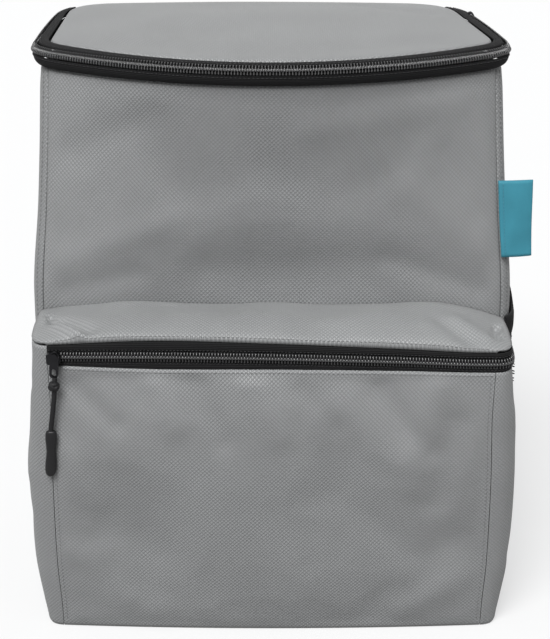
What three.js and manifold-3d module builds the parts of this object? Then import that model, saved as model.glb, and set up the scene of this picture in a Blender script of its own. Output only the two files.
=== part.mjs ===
import * as THREE from "three";
import { mergeVertices } from "three/addons/utils/BufferGeometryUtils.js";
import Module from "manifold-3d";

const wasm = await Module();
wasm.setup();

// Padded box, in millimetres: front towards -Y, floor at Z = 0
const bodyWidth = 302;
const bodyDepth = 170;
const bodyHeight = 346;
const wallThickness = 5;
const baseThickness = 6;
const baseEdgeRound = 6;
const seamGap = 0.3;
const restGap = 0.4;

// Lid and the zip band between lid and box
const bandHeight = 12.7;
const bandOverhang = 5.5;
const bandBelly = 5;
const bandEnd = 0.04;
const lidDome = 4;
const tapeThickness = 1.2;
const coilThickness = 2.6;
const coilRaise = 0.8;

// Front pocket
const pocketHeight = 201.5;
const pocketDepth = 45;
const pocketTopRise = 6;
const pocketPuff = 5;
const clothThickness = 1.8;
const zipCoilWidth = 6.2;
const coilPlace = 0.45;

// Zip slider, metal puller, knotted cord and moulded grip
const sliderLength = 8.6;
const sliderWidth = 8.5;
const sliderThickness = 3.2;
const pegRadius = 1.0;
const pegHeadRadius = 1.9;
const pegHeadThickness = 0.8;
const eyeClearance = 0.35;
const sliderInset = 4.5;
const pegAcross = 1.2;
const pegRise = 3;
const pullerLength = 17.5;
const pullerWidth = 5.4;
const pullerThickness = 1.5;
const pullerTilt = 0.09;
const slotRise = 2.2;
const knotRadius = 4;
const cordDiameter = 3.2;
const gripLength = 31;
const gripWidth = 7.2;
const gripThickness = 4.6;

// Folded label in the right front seam
const labelHeight = 46;
const labelReach = 21.5;
const labelThickness = 1.2;
const labelCentreHeight = 257;
const labelLean = 0.12;
const labelSwing = 2.5;

// Coarse net pocket on the right side, its edge a little lower than the front pocket's
const netDrop = 20.5;
const netFoot = 9;
const netBulge = 13;
const netThickness = 1.6;
const netStrand = 2.6;
const netColumns = 14;
const netRows = 16;
const bindingHeight = 14.5;
const bindingThickness = 1.8;
const bindingStandOff = 6;
const netSeam = 0.015;
const netClearance = 0.6;

// Shoulder straps, adjusters and grab handle on the back, hung from the box's upper edge
const strapWidth = 56;
const strapThickness = 8;
const strapDrop = 46;
const strapSpacing = 104;
const strapStandOff = 21;
const strapEnd = 128;
const strapSettle = 0.6;
const sewnGap = 0.6;
const webbingWidth = 25;
const webbingThickness = 1.6;
const webbingFoot = 22;
const webbingFootSpread = 112;
const webbingLift = 4;
const webbingTail = 45;
const webbingEase = 8;
const webbingFlare = 1;
const webbingLean = 1.5;
const buckleWidth = 33;
const buckleBar = 4;
const buckleThickness = 3;
const slotHeight = 3.6;
const handleSpan = 76;
const handleWidth = 22;
const handleThickness = 3;
const handleReach = 21;
const handleDrop = 16;
const handleSag = 4;

const halfWidth = bodyWidth / 2;
const halfDepth = bodyDepth / 2;
const lidHeight = bodyHeight + bandHeight;
const netHeight = pocketHeight - netDrop;
const strapTop = bodyHeight - strapDrop;
const handleHeight = bodyHeight - handleDrop;

// Plan outline of the box by height: half widths and the back's shift as shares of the half
// width, edges, bows and rounds as shares of the half depth
const bodySections = [
  { height: 0.00, frontHalf: 0.970, frontEdge: -0.83, frontBow: 0.09, sideBow: 0.020, frontRound: 0.20,
    backShift: 0.000, backHalf: 0.930, backEdge: 0.94, backBow: 0.060, backRound: 0.26 },
  { height: 0.25, frontHalf: 0.988, frontEdge: -0.84, frontBow: 0.09, sideBow: 0.030, frontRound: 0.19,
    backShift: 0.000, backHalf: 0.940, backEdge: 0.94, backBow: 0.060, backRound: 0.26 },
  { height: 0.60, frontHalf: 0.990, frontEdge: -0.85, frontBow: 0.06, sideBow: 0.020, frontRound: 0.19,
    backShift: 0.000, backHalf: 0.940, backEdge: 0.94, backBow: 0.060, backRound: 0.26 },
  { height: 0.76, frontHalf: 0.962, frontEdge: -0.72, frontBow: 0.22, sideBow: 0.010, frontRound: 0.18,
    backShift: -0.008, backHalf: 0.915, backEdge: 0.93, backBow: 0.070, backRound: 0.28 },
  { height: 0.88, frontHalf: 0.948, frontEdge: -0.60, frontBow: 0.37, sideBow: 0.000, frontRound: 0.18,
    backShift: -0.022, backHalf: 0.885, backEdge: 0.92, backBow: 0.080, backRound: 0.30 },
  { height: 1.00, frontHalf: 0.936, frontEdge: -0.47, frontBow: 0.53, sideBow: 0.000, frontRound: 0.17,
    backShift: -0.045, backHalf: 0.840, backEdge: 0.895, backBow: 0.105, backRound: 0.34 },
];

// Outline of the lid's cloth inside the zip band, shares as above
const lidSection = { frontHalf: 0.901, frontEdge: -0.35, frontBow: 0.588, sideBow: 0.000,
  frontRound: 0.12, backShift: -0.056, backHalf: 0.836, backEdge: 0.905, backBow: 0.083, backRound: 0.34 };

// Seam places on the rounded corners, from the side before to the side after
const cornerSeams = [0.65, 0.35, 0.5, 0.5];

// Plan outline of the front pocket by height: half as a share of the half width, the rest
// as shares of the pocket's depth, measured out from the box's front
const pocketSections = [
  { height: 0.00, half: 0.966, out: 1.01, bow: 0.10, sideBow: 0.00, round: 0.26 },
  { height: 0.03, half: 0.972, out: 1.02, bow: 0.11, sideBow: 0.01, round: 0.28 },
  { height: 0.10, half: 0.984, out: 1.04, bow: 0.12, sideBow: 0.04, round: 0.32 },
  { height: 0.25, half: 1.002, out: 1.07, bow: 0.13, sideBow: 0.07, round: 0.36 },
  { height: 0.55, half: 0.996, out: 1.09, bow: 0.14, sideBow: 0.07, round: 0.36 },
  { height: 0.75, half: 0.974, out: 1.06, bow: 0.14, sideBow: 0.05, round: 0.32 },
  { height: 0.92, half: 0.950, out: 0.98, bow: 0.13, sideBow: 0.03, round: 0.22 },
  { height: 1.00, half: 0.946, out: 0.94, bow: 0.12, sideBow: 0.03, round: 0.21 },
];

// Edges of the pocket's zip along its length, as shares of the pocket's height
const zipLine = [
  { height: 0.00, lower: 0.925, upper: 0.984 },
  { height: 0.20, lower: 0.921, upper: 1.005 },
  { height: 0.42, lower: 0.923, upper: 0.998 },
  { height: 0.65, lower: 0.915, upper: 0.979 },
  { height: 0.81, lower: 0.903, upper: 0.961 },
  { height: 1.00, lower: 0.895, upper: 0.958 },
];

// Broad soft dents and swells of the front panel: place and reach as shares of the half
// width and the box's height, depth as a share of the wall's thickness
const frontDents = [
  { across: 0.00, height: 0.84, reachAcross: 0.55, reachHeight: 0.09, depth: 0.30 },
  { across: -0.45, height: 0.72, reachAcross: 0.30, reachHeight: 0.10, depth: -0.40 },
  { across: 0.40, height: 0.70, reachAcross: 0.35, reachHeight: 0.09, depth: -0.35 },
  { across: 0.05, height: 0.66, reachAcross: 0.60, reachHeight: 0.05, depth: 0.35 },
];

// Relative bulge of the net between its foot and its bound edge
const netProfile = [
  { height: 0.00, swell: 0.03 },
  { height: 0.15, swell: 0.62 },
  { height: 0.38, swell: 1.00 },
  { height: 0.60, swell: 0.80 },
  { height: 0.85, swell: 0.45 },
  { height: 1.00, swell: bindingStandOff / netBulge },
];

// Values of a table at any height, eased from row to row
function rowAt(table, height) {
  const place = Math.min(Math.max(height, table[0].height), table.at(-1).height);
  let low = 0;
  while (low < table.length - 2 && place > table[low + 1].height) low += 1;
  const [a, b] = [table[low], table[low + 1]];
  const before = table[Math.max(low - 1, 0)];
  const after = table[Math.min(low + 2, table.length - 1)];
  const span = b.height - a.height;
  const t = (place - a.height) / span;
  const row = {};
  for (const key of Object.keys(a)) {
    const slopeA = (b[key] - before[key]) / (b.height - before.height);
    const slopeB = (after[key] - a[key]) / (after.height - a.height);
    row[key] = (1 + 2 * t) * (1 - t) ** 2 * a[key] + t * (1 - t) ** 2 * span * slopeA
      + t * t * (3 - 2 * t) * b[key] - t * t * (1 - t) * span * slopeB;
  }
  return row;
}

// Stretch of a parabola between two of its parameters
function bezierPart([p0, p1, p2], start, end) {
  const blend = (s, t) => new THREE.Vector2()
    .addScaledVector(p0, (1 - s) * (1 - t))
    .addScaledVector(p1, s * (1 - t) + t * (1 - s))
    .addScaledVector(p2, s * t);
  return [blend(start, start), blend(start, end), blend(end, end)];
}

// Side between two corner points, bowed out to the right of its direction
function bowedSide(from, to, bow) {
  const along = to.clone().sub(from).normalize();
  const out = new THREE.Vector2(along.y, -along.x);
  return [from, from.clone().add(to).multiplyScalar(0.5).addScaledVector(out, 2 * bow), to];
}

// Rounded corner between the ends of two bowed sides
function roundCorner(sideBefore, sideAfter, round) {
  const cutBefore = round / sideBefore[0].distanceTo(sideBefore[2]);
  const cutAfter = round / sideAfter[0].distanceTo(sideAfter[2]);
  const start = bezierPart(sideBefore, 1 - cutBefore, 1)[0];
  const end = bezierPart(sideAfter, 0, cutAfter)[2];
  return { curve: [start, sideBefore[2], end], cutBefore, cutAfter };
}

function curvePath(parts) {
  const path = new THREE.CurvePath();
  parts.forEach((part) => path.add(new THREE.QuadraticBezierCurve(...part)));
  return path;
}

// The four stretches of a closed outline, from seam to seam: front, right, back, left
function outlineSides(row) {
  const corners = [
    new THREE.Vector2(-row.frontHalf * halfWidth, row.frontEdge * halfDepth),
    new THREE.Vector2(row.frontHalf * halfWidth, row.frontEdge * halfDepth),
    new THREE.Vector2((row.backShift + row.backHalf) * halfWidth, row.backEdge * halfDepth),
    new THREE.Vector2((row.backShift - row.backHalf) * halfWidth, row.backEdge * halfDepth),
  ];
  const bows = [row.frontBow, row.sideBow, row.backBow, row.sideBow];
  const rounds = [row.frontRound, row.frontRound, row.backRound, row.backRound];
  const sides = bows.map((bow, i) => bowedSide(corners[i], corners[(i + 1) % 4], bow * halfDepth));
  const turns = rounds.map(
    (round, i) => roundCorner(sides[(i + 3) % 4], sides[i], round * halfDepth));
  return sides.map((side, i) => {
    const next = (i + 1) % 4;
    return curvePath([
      bezierPart(turns[i].curve, cornerSeams[i], 1),
      bezierPart(side, turns[i].cutAfter, 1 - turns[next].cutBefore),
      bezierPart(turns[next].curve, 0, cornerSeams[next]),
    ]);
  });
}

// Point and outward direction on a path in plan, at a share of its length
function onPath(path, share) {
  const point = path.getPoint(share);
  const tangent = path.getTangent(share);
  return { point, out: new THREE.Vector2(tangent.y, -tangent.x).normalize() };
}

function raised({ point, out }, z, offset) {
  return new THREE.Vector3(point.x + out.x * offset, point.y + out.y * offset, z);
}

function bodySides(z) {
  return outlineSides(rowAt(bodySections, z / bodyHeight));
}

// Triangles gathered into one geometry, turned so that the volume is positive
function closedGeometry(vertices, triangles) {
  let volume = 0;
  const cross = new THREE.Vector3();
  for (const [a, b, c] of triangles) {
    volume += vertices[a].dot(cross.crossVectors(vertices[b], vertices[c]));
  }
  const ordered = volume > 0 ? triangles : triangles.map(([a, b, c]) => [a, c, b]);
  const geometry = new THREE.BufferGeometry();
  geometry.setAttribute("position", new THREE.Float32BufferAttribute(
    vertices.flatMap((v) => [v.x, v.y, v.z]), 3));
  geometry.setIndex(ordered.flat());
  geometry.computeVertexNormals();
  return geometry;
}

// Thick sheet between two grids of points with the same rows and columns
function sheetSolid(outer, inner) {
  const rows = outer.length;
  const columns = outer[0].length;
  const vertices = [...outer.flat(), ...inner.flat()];
  const index = (layer, r, c) => layer * rows * columns + r * columns + c;
  const triangles = [];
  const quad = (a, b, c, d) => triangles.push([a, b, c], [a, c, d]);
  for (let r = 0; r < rows - 1; r += 1) {
    for (let c = 0; c < columns - 1; c += 1) {
      quad(index(0, r, c), index(0, r, c + 1), index(0, r + 1, c + 1), index(0, r + 1, c));
      quad(index(1, r + 1, c), index(1, r + 1, c + 1), index(1, r, c + 1), index(1, r, c));
    }
    quad(index(0, r, 0), index(0, r + 1, 0), index(1, r + 1, 0), index(1, r, 0));
    quad(index(1, r, columns - 1), index(1, r + 1, columns - 1),
      index(0, r + 1, columns - 1), index(0, r, columns - 1));
  }
  for (let c = 0; c < columns - 1; c += 1) {
    quad(index(0, 0, c + 1), index(0, 0, c), index(1, 0, c), index(1, 0, c + 1));
    quad(index(0, rows - 1, c), index(0, rows - 1, c + 1),
      index(1, rows - 1, c + 1), index(1, rows - 1, c));
  }
  return closedGeometry(vertices, triangles);
}

// Solid through closed rings of equal length, capped at both ends
function ringSolid(rings) {
  const count = rings[0].length;
  const vertices = rings.flat();
  const triangles = [];
  for (let r = 0; r < rings.length - 1; r += 1) {
    for (let i = 0; i < count; i += 1) {
      const j = (i + 1) % count;
      triangles.push([r * count + i, r * count + j, (r + 1) * count + j]);
      triangles.push([r * count + i, (r + 1) * count + j, (r + 1) * count + i]);
    }
  }
  [0, rings.length - 1].forEach((r) => {
    const centre = new THREE.Vector3();
    rings[r].forEach((v) => centre.addScaledVector(v, 1 / count));
    vertices.push(centre);
    for (let i = 0; i < count; i += 1) {
      const j = (i + 1) % count;
      const corner = [r * count + i, r * count + j];
      triangles.push([vertices.length - 1, ...(r === 0 ? corner.reverse() : corner)]);
    }
  });
  return closedGeometry(vertices, triangles);
}

// Grid of points from a function of row and column shares
function grid(rows, columns, pointAt) {
  return Array.from({ length: rows + 1 }, (_, r) => Array.from(
    { length: columns + 1 }, (_, c) => pointAt(r / rows, c / columns)));
}

// Share of a path that leaves half a seam's gap at each end
function insideSeams(path, share) {
  const length = path.getLength();
  return (seamGap / 2 + share * (length - seamGap)) / length;
}

// Strip swept along a curve: width lies along the given axis, close points give close rings
function sweptBand(curve, widthAxis, width, thickness, steps, squareness) {
  const edge = 1 - (1 - squareness) * thickness / width;
  const profile = [
    [-1, -squareness], [-1, squareness], [-edge, 1], [edge, 1],
    [1, squareness], [1, -squareness], [edge, -1], [-edge, -1],
  ];
  const rings = Array.from({ length: steps + 1 }, (_, i) => {
    const at = curve.getPoint(i / steps);
    const along = curve.getTangent(i / steps);
    const wide = widthAxis.clone().addScaledVector(along, -along.dot(widthAxis)).normalize();
    const thick = new THREE.Vector3().crossVectors(along, wide);
    return profile.map(([a, b]) => at.clone()
      .addScaledVector(wide, a * width / 2).addScaledVector(thick, b * thickness / 2));
  });
  return ringSolid(rings);
}

// Join of closed meshes into one solid
function joined(geometries) {
  const solids = geometries.map((geometry) => {
    const plain = geometry.clone();
    plain.deleteAttribute("normal");
    plain.deleteAttribute("uv");
    const merged = mergeVertices(plain);
    return new wasm.Manifold(new wasm.Mesh({ numProp: 3,
      vertProperties: new Float32Array(merged.attributes.position.array),
      triVerts: new Uint32Array(merged.index.array) }));
  });
  const mesh = solids.reduce((a, b) => a.add(b)).getMesh();
  const geometry = new THREE.BufferGeometry();
  geometry.setAttribute("position", new THREE.BufferAttribute(mesh.vertProperties, 3));
  geometry.setIndex(new THREE.BufferAttribute(mesh.triVerts, 1));
  geometry.computeVertexNormals();
  return geometry;
}

const cloth = { color: 0x828385, roughness: 0.85, metalness: 0 };
const blackTape = { color: 0x29292b, roughness: 0.8, metalness: 0 };
const blackCoil = { color: 0x1c1c1e, roughness: 0.45, metalness: 0 };
const gunmetal = { color: 0x3a3b3e, roughness: 0.35, metalness: 0.9 };
const blackRubber = { color: 0x2c2d2f, roughness: 0.6, metalness: 0 };
const labelCloth = { color: 0x468ca0, roughness: 0.6, metalness: 0 };

const group = new THREE.Group();

function addPiece(name, geometry, look) {
  const mesh = new THREE.Mesh(geometry, new THREE.MeshStandardMaterial(look));
  mesh.name = name;
  group.add(mesh);
  return mesh;
}

// Soft relief of the front panel at a point across and up
function frontRelief(x, z) {
  return frontDents.reduce((sum, dent) => {
    const across = (x / halfWidth - dent.across) / dent.reachAcross;
    const up = (z / bodyHeight - dent.height) / dent.reachHeight;
    return sum - dent.depth * wallThickness * Math.exp(-across * across - up * up);
  }, 0);
}

// Even shares drawn towards both ends, where the corners turn
const cornerPull = 0.13;

function towardsEnds(share, pull = cornerPull) {
  return share - pull * Math.sin(2 * Math.PI * share);
}

// How softly the relief of a wall fades out at its seams
const reliefFade = 0.5;

// One padded wall of the box, between two of its seams, through rows at the given heights
function wallPanel(side, heights, columns, relief) {
  const points = (depth) => grid(heights.length - 1, columns, (v, share) => {
    const z = heights[Math.round(v * (heights.length - 1))];
    const u = towardsEnds(share);
    const path = bodySides(z)[side];
    const place = onPath(path, insideSeams(path, u));
    const fade = Math.sin(Math.PI * u) ** reliefFade;
    return raised(place, z, fade * relief(place.point.x, z) - depth);
  });
  return sheetSolid(points(0), points(wallThickness));
}

const noRelief = () => 0;
const wallBottom = baseThickness + seamGap;
const wallTop = bodyHeight - seamGap;
const backTop = lidHeight - wallThickness - seamGap;
const wallRows = 11;
const frontColumns = 14;
const sideColumns = 8;
const backColumns = 10;
const panelHeights = Array.from({ length: wallRows + 1 },
  (_, i) => wallBottom + (i / wallRows) * (wallTop - wallBottom));
addPiece("front_panel", wallPanel(0, panelHeights, frontColumns, frontRelief), cloth);
addPiece("right_side_panel", wallPanel(1, panelHeights, sideColumns, noRelief), cloth);
addPiece("back_panel", wallPanel(2, [...panelHeights, backTop], backColumns, noRelief), cloth);
addPiece("left_side_panel", wallPanel(3, panelHeights, sideColumns, noRelief), cloth);

// Base panel: a padded plate whose lower edge is a quarter round
function basePanel() {
  const stations = [frontColumns, sideColumns, backColumns, sideColumns];
  const edgeSteps = 3;
  const ring = (z, inset) => bodySides(z).flatMap((path, side) => Array.from(
    { length: stations[side] },
    (_, i) => raised(onPath(path, towardsEnds(i / stations[side])), z, -inset)));
  return ringSolid(Array.from({ length: edgeSteps + 1 }, (_, i) => {
    const turn = (i / edgeSteps) * Math.PI / 2;
    return ring(baseThickness * (1 - Math.cos(turn)), baseEdgeRound * (1 - Math.sin(turn)));
  }));
}
addPiece("base_panel", basePanel(), cloth);

// Four-sided patch between curves that meet at their ends
function patchPoint({ front, back, left, right }, u, v) {
  const sum = new THREE.Vector3()
    .addScaledVector(back(u), 1 - v).addScaledVector(front(u), v)
    .addScaledVector(left(v), 1 - u).addScaledVector(right(v), u);
  return sum
    .addScaledVector(back(0), -(1 - u) * (1 - v)).addScaledVector(back(1), -u * (1 - v))
    .addScaledVector(front(0), -(1 - u) * v).addScaledVector(front(1), -u * v);
}

const lidSides = outlineSides(lidSection);
const bandFrontSteps = 18;
const bandSideSteps = 7;
const domeFullness = 0.6;

// Lid: a padded, slightly domed panel that continues over the back as its own hinge
function lidPanel() {
  const edge = (side, share) => raised(onPath(lidSides[side], share), lidHeight, -restGap);
  const edges = {
    front: (u) => edge(0, u),
    back: (u) => edge(2, 1 - u),
    left: (v) => edge(3, v),
    right: (v) => edge(1, 1 - v),
  };
  const dome = (u, v) => lidDome * (Math.sin(Math.PI * u) * Math.sin(Math.PI * v)) ** domeFullness;
  const top = grid(bandSideSteps, bandFrontSteps, (down, across) => {
    const [u, v] = [towardsEnds(across), towardsEnds(down)];
    const point = patchPoint(edges, u, v);
    point.z += dome(u, v);
    return point;
  });
  const under = top.map((row) => row.map((p) => new THREE.Vector3(p.x, p.y, p.z - wallThickness)));
  return sheetSolid(top, under);
}
addPiece("lid_panel", lidPanel(), cloth);

// Places along the lid's zip, from the left back corner round the front to the right one
const bandParts = [
  { side: 3, from: bandEnd, to: 1, steps: bandSideSteps },
  { side: 0, from: 0, to: 1, steps: bandFrontSteps },
  { side: 1, from: 0, to: 1 - bandEnd, steps: bandSideSteps },
];
const bandStations = bandParts.flatMap(({ side, from, to, steps }) => Array.from(
  { length: side === 1 ? steps + 1 : steps },
  (_, i) => ({ side, share: from + (to - from) * towardsEnds(i / steps) })));
const bandSides = bodySides(bodyHeight);

// Heights where the band swells out and where it turns in over the lid, as shares of its own
const bandSwell = 0.1;
const bandTurn = 1.05;
const bellyFullness = 0.7;

// Curved section of the band at a place, from the box's edge to the lid's edge; along both
// sides the upper tape bellies out in a loose fold
function bandSection({ side, share }) {
  const belly = side === 0 ? 0 : bandBelly * Math.sin(Math.PI * share) ** bellyFullness;
  const low = onPath(bandSides[side], share);
  const high = onPath(lidSides[side], share);
  return new THREE.CubicBezierCurve3(
    raised(low, bodyHeight, 0),
    raised(low, bodyHeight + bandHeight * bandSwell, bandOverhang),
    raised(low, bodyHeight + bandHeight * bandTurn, bandOverhang + belly),
    raised(high, lidHeight, 0),
  );
}

function bandPoint(station, climb, lift) {
  const section = bandSection(station);
  const { out } = onPath(bandSides[station.side], station.share);
  const along = new THREE.Vector3(-out.y, out.x, 0);
  const normal = along.cross(section.getTangent(climb)).normalize();
  return section.getPoint(climb).addScaledVector(normal, lift);
}

// Strip of the band between two climbs
function bandStrip(from, to, thickness, raise, rows) {
  const points = (lift) => grid(rows, bandStations.length - 1, (v, u) => bandPoint(
    bandStations[Math.round(u * (bandStations.length - 1))], from + v * (to - from), lift));
  return sheetSolid(points(raise), points(raise - thickness));
}

// Climbs of the tape edges beside the coil, and the gap between neighbours
const coilLow = 0.5;
const coilHigh = 0.78;
const climbGap = seamGap / Math.min(...bandStations.map((station) => bandSection(station).getLength()));
addPiece("top_zip_tape_lower", bandStrip(climbGap, coilLow - climbGap, tapeThickness, 0, 2), blackTape);
addPiece("top_zip_coil", bandStrip(coilLow, coilHigh, coilThickness, coilRaise, 2), blackCoil);
addPiece("top_zip_tape_upper", bandStrip(coilHigh + climbGap, 1, tapeThickness, 0, 2), blackTape);

// Pear-shaped block of both sliders, widths and shoulders as shares of the half sizes:
// length along X, width along Y, thickness along Z
const sliderHeel = { width: 0.6, shoulder: 0.6 };
const sliderNose = { width: 0.35, shoulder: 0.8 };

function sliderBlock() {
  const [l, w] = [sliderLength / 2, sliderWidth / 2];
  const shape = new THREE.Shape();
  shape.moveTo(-l, -w * sliderHeel.width);
  shape.lineTo(-l, w * sliderHeel.width);
  shape.quadraticCurveTo(-l * sliderHeel.shoulder, w, 0, w);
  shape.quadraticCurveTo(l * sliderNose.shoulder, w, l, w * sliderNose.width);
  shape.lineTo(l, -w * sliderNose.width);
  shape.quadraticCurveTo(l * sliderNose.shoulder, -w, 0, -w);
  shape.quadraticCurveTo(-l * sliderHeel.shoulder, -w, -l, -w * sliderHeel.width);
  return new THREE.ExtrudeGeometry(shape,
    { depth: sliderThickness, bevelEnabled: false, curveSegments: 4 });
}

// Slider of the lid's zip, closed at the back of the right side
const topSliderPlace = 0.8;

function topSlider() {
  const station = { side: 1, share: topSliderPlace };
  const middle = (coilLow + coilHigh) / 2;
  const plan = onPath(bandSides[1], topSliderPlace).out;
  const along = new THREE.Vector3(-plan.y, plan.x, 0);
  const out = along.clone().cross(bandSection(station).getTangent(middle)).normalize();
  const up = new THREE.Vector3().crossVectors(out, along);
  const mesh = addPiece("top_zip_slider", sliderBlock(), gunmetal);
  mesh.setRotationFromMatrix(new THREE.Matrix4().makeBasis(along, up, out));
  mesh.position.copy(bandPoint(station, middle, coilRaise + restGap));
}
topSlider();

// Front pocket: three stretches in plan, left gusset, front and right gusset. The gussets'
// faces end this far off the box, so that the corner of their edge keeps clear of it
const gussetSeatShare = 0.6;
const gussetSeat = clothThickness * gussetSeatShare;
const bodyFront = bodySides(pocketHeight)[0].getPoint(0.5).y;

function pocketStretches(z) {
  const row = rowAt(pocketSections, z / pocketHeight);
  const front = bodyFront - row.out * pocketDepth;
  const bodyPath = bodySides(z)[0];
  const seat = (share) => {
    const { point, out } = onPath(bodyPath, share);
    return point.clone().addScaledVector(out, restGap + gussetSeat);
  };
  const corners = [seat(0), new THREE.Vector2(-row.half * halfWidth, front),
    new THREE.Vector2(row.half * halfWidth, front), seat(1)];
  const left = bowedSide(corners[0], corners[1], row.sideBow * pocketDepth);
  const middle = bowedSide(corners[1], corners[2], row.bow * pocketDepth);
  const right = bowedSide(corners[2], corners[3], row.sideBow * pocketDepth);
  const leftTurn = roundCorner(left, middle, row.round * pocketDepth);
  const rightTurn = roundCorner(middle, right, row.round * pocketDepth);
  return [
    curvePath([bezierPart(left, 0, 1 - leftTurn.cutBefore), leftTurn.curve]),
    curvePath([bezierPart(middle, leftTurn.cutAfter, 1 - rightTurn.cutBefore)]),
    curvePath([rightTurn.curve, bezierPart(right, rightTurn.cutAfter, 1)]),
  ];
}

// Share along the zip of a place on the front or right gusset
const zipMiddle = pocketStretches(pocketHeight);
const zipFrontShare = zipMiddle[1].getLength() / (zipMiddle[1].getLength() + zipMiddle[2].getLength());

function zipShare(stretch, share) {
  return stretch === 1 ? share * zipFrontShare : zipFrontShare + share * (1 - zipFrontShare);
}

function zipEdge(stretch, share, key) {
  return rowAt(zipLine, zipShare(stretch, share))[key] * pocketHeight;
}

function pocketPoint(stretch, share, z, offset) {
  return raised(onPath(pocketStretches(z)[stretch], share), z, offset);
}

// Heights of the grid rows of a pocket wall, closer near the foot
const pocketRows = 9;
const footCrowding = 1.4;

function wallHeights(top) {
  return Array.from({ length: pocketRows + 1 }, (_, i) => (i / pocketRows) ** footCrowding * top);
}

// Wall of the pocket through rows of heights that may vary along it
function pocketWall(stretch, heightsAt, columns) {
  const length = pocketStretches(pocketHeight / 2)[stretch].getLength();
  const inset = seamGap / 2 / length;
  const rows = heightsAt(0).length - 1;
  const points = (depth) => grid(rows, columns, (v, u) => {
    const share = inset + u * (1 - 2 * inset);
    return pocketPoint(stretch, share, heightsAt(share)[Math.round(v * rows)], -depth);
  });
  return sheetSolid(points(0), points(clothThickness));
}

const leftTop = zipEdge(1, 0, "upper");
const leftHeights = [...wallHeights(zipEdge(1, 0, "lower") - seamGap), leftTop];
const underZip = (stretch) => (share) => wallHeights(zipEdge(stretch, share, "lower") - seamGap);
const gussetColumns = 7;
addPiece("pocket_left_gusset", pocketWall(0, () => leftHeights, gussetColumns), cloth);
addPiece("pocket_front_panel", pocketWall(1, underZip(1), frontColumns), cloth);
addPiece("pocket_right_gusset", pocketWall(2, underZip(2), gussetColumns), cloth);

// Pocket's zip: tape, coil and tape along the front and round the right corner
const zipStations = [
  ...Array.from({ length: frontColumns }, (_, i) => ({ stretch: 1, share: i / frontColumns })),
  ...Array.from({ length: gussetColumns + 1 }, (_, i) => ({ stretch: 2, share: i / gussetColumns })),
];

function zipStrip(lowAt, highAt, thickness, raise) {
  const points = (offset) => grid(1, zipStations.length - 1, (v, u) => {
    const { stretch, share } = zipStations[Math.round(u * (zipStations.length - 1))];
    const lower = zipEdge(stretch, share, "lower");
    const upper = zipEdge(stretch, share, "upper");
    const z = v === 0 ? lowAt(lower, upper) : highAt(lower, upper);
    return pocketPoint(stretch, share, z, offset);
  });
  return sheetSolid(points(raise), points(raise - thickness));
}

const coilMiddle = (lower, upper) => lower + coilPlace * (upper - lower);
const coilBottom = (lower, upper) => coilMiddle(lower, upper) - zipCoilWidth / 2;
const coilTop = (lower, upper) => coilMiddle(lower, upper) + zipCoilWidth / 2;
addPiece("pocket_zip_tape_lower", zipStrip((lower) => lower,
  (lower, upper) => coilBottom(lower, upper) - seamGap, tapeThickness, 0), blackTape);
addPiece("pocket_zip_coil", zipStrip(coilBottom, coilTop, coilThickness, coilRaise), blackCoil);
addPiece("pocket_zip_tape_upper", zipStrip((lower, upper) => coilTop(lower, upper) + seamGap,
  (lower, upper) => upper, tapeThickness, 0), blackTape);

// Pocket's puffed top, from the box's front to the zip; its back edge is level and drops
// only near the corners
const crestFlatness = 7;
const puffFullness = 0.5;
const pocketTopRows = 5;

function pocketTop() {
  const edgeTop = (stretch, share) => zipEdge(stretch, share, "upper") + clothThickness + seamGap;
  const crest = pocketHeight + pocketTopRise;
  const back = (u) => {
    const end = u < 0.5 ? edgeTop(1, 0) : edgeTop(2, 1);
    const fall = Math.abs(2 * u - 1) ** crestFlatness;
    const z = crest - (crest - end) * fall;
    return raised(onPath(bodySides(z)[0], u), z, restGap + fall * gussetSeat);
  };
  const edges = {
    back,
    front: (u) => pocketPoint(1, u, edgeTop(1, u), 0),
    left: (v) => (v === 0 ? back(0) : pocketPoint(0, v, edgeTop(1, 0), 0)),
    right: (v) => (v === 0 ? back(1) : pocketPoint(2, 1 - v, edgeTop(2, 1 - v), 0)),
  };
  const top = grid(pocketTopRows, bandFrontSteps, (v, across) => {
    const u = towardsEnds(across);
    const point = patchPoint(edges, u, v);
    point.z += pocketPuff * (Math.sin(Math.PI * u) ** puffFullness) * Math.sin(Math.PI * v);
    return point;
  });
  const under = top.map((row) => row.map((p) => new THREE.Vector3(p.x, p.y, p.z - clothThickness)));
  return sheetSolid(top, under);
}
addPiece("pocket_top_panel", pocketTop(), cloth);

// Pocket's flat foot, between the base panel and the pocket's walls
const footInset = 0.02;

function pocketBase() {
  const clear = clothThickness + seamGap;
  const counts = [gussetColumns, frontColumns, gussetColumns];
  const outline = counts.flatMap((count, stretch) => Array.from(
    { length: stretch === 2 ? count + 1 : count }, (_, i) => ({ stretch, share: i / count })));
  const bodyPath = bodySides(baseThickness)[0];
  const layer = (z) => grid(2, outline.length - 1, (v, u) => {
    const { stretch, share } = outline[Math.round(u * (outline.length - 1))];
    const front = pocketPoint(stretch, share, z, -clear);
    const back = raised(onPath(bodyPath, footInset + u * (1 - 2 * footInset)), z, restGap);
    return back.lerp(front, v);
  });
  return sheetSolid(layer(clothThickness), layer(0));
}
addPiece("pocket_base", pocketBase(), cloth);

// Pocket's slider with a peg that holds the puller's eye
const sliderPlace = sliderInset / zipMiddle[1].getLength();
const sliderHeight = coilMiddle(zipEdge(1, sliderPlace, "lower"), zipEdge(1, sliderPlace, "upper"));
const sliderSeat = pocketPoint(1, sliderPlace, sliderHeight, coilRaise + restGap);
const sliderOut = onPath(pocketStretches(sliderHeight)[1], sliderPlace).out;
const sliderBasis = new THREE.Matrix4().makeBasis(new THREE.Vector3(-sliderOut.y, sliderOut.x, 0),
  new THREE.Vector3(0, 0, 1), new THREE.Vector3(sliderOut.x, sliderOut.y, 0));

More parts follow.
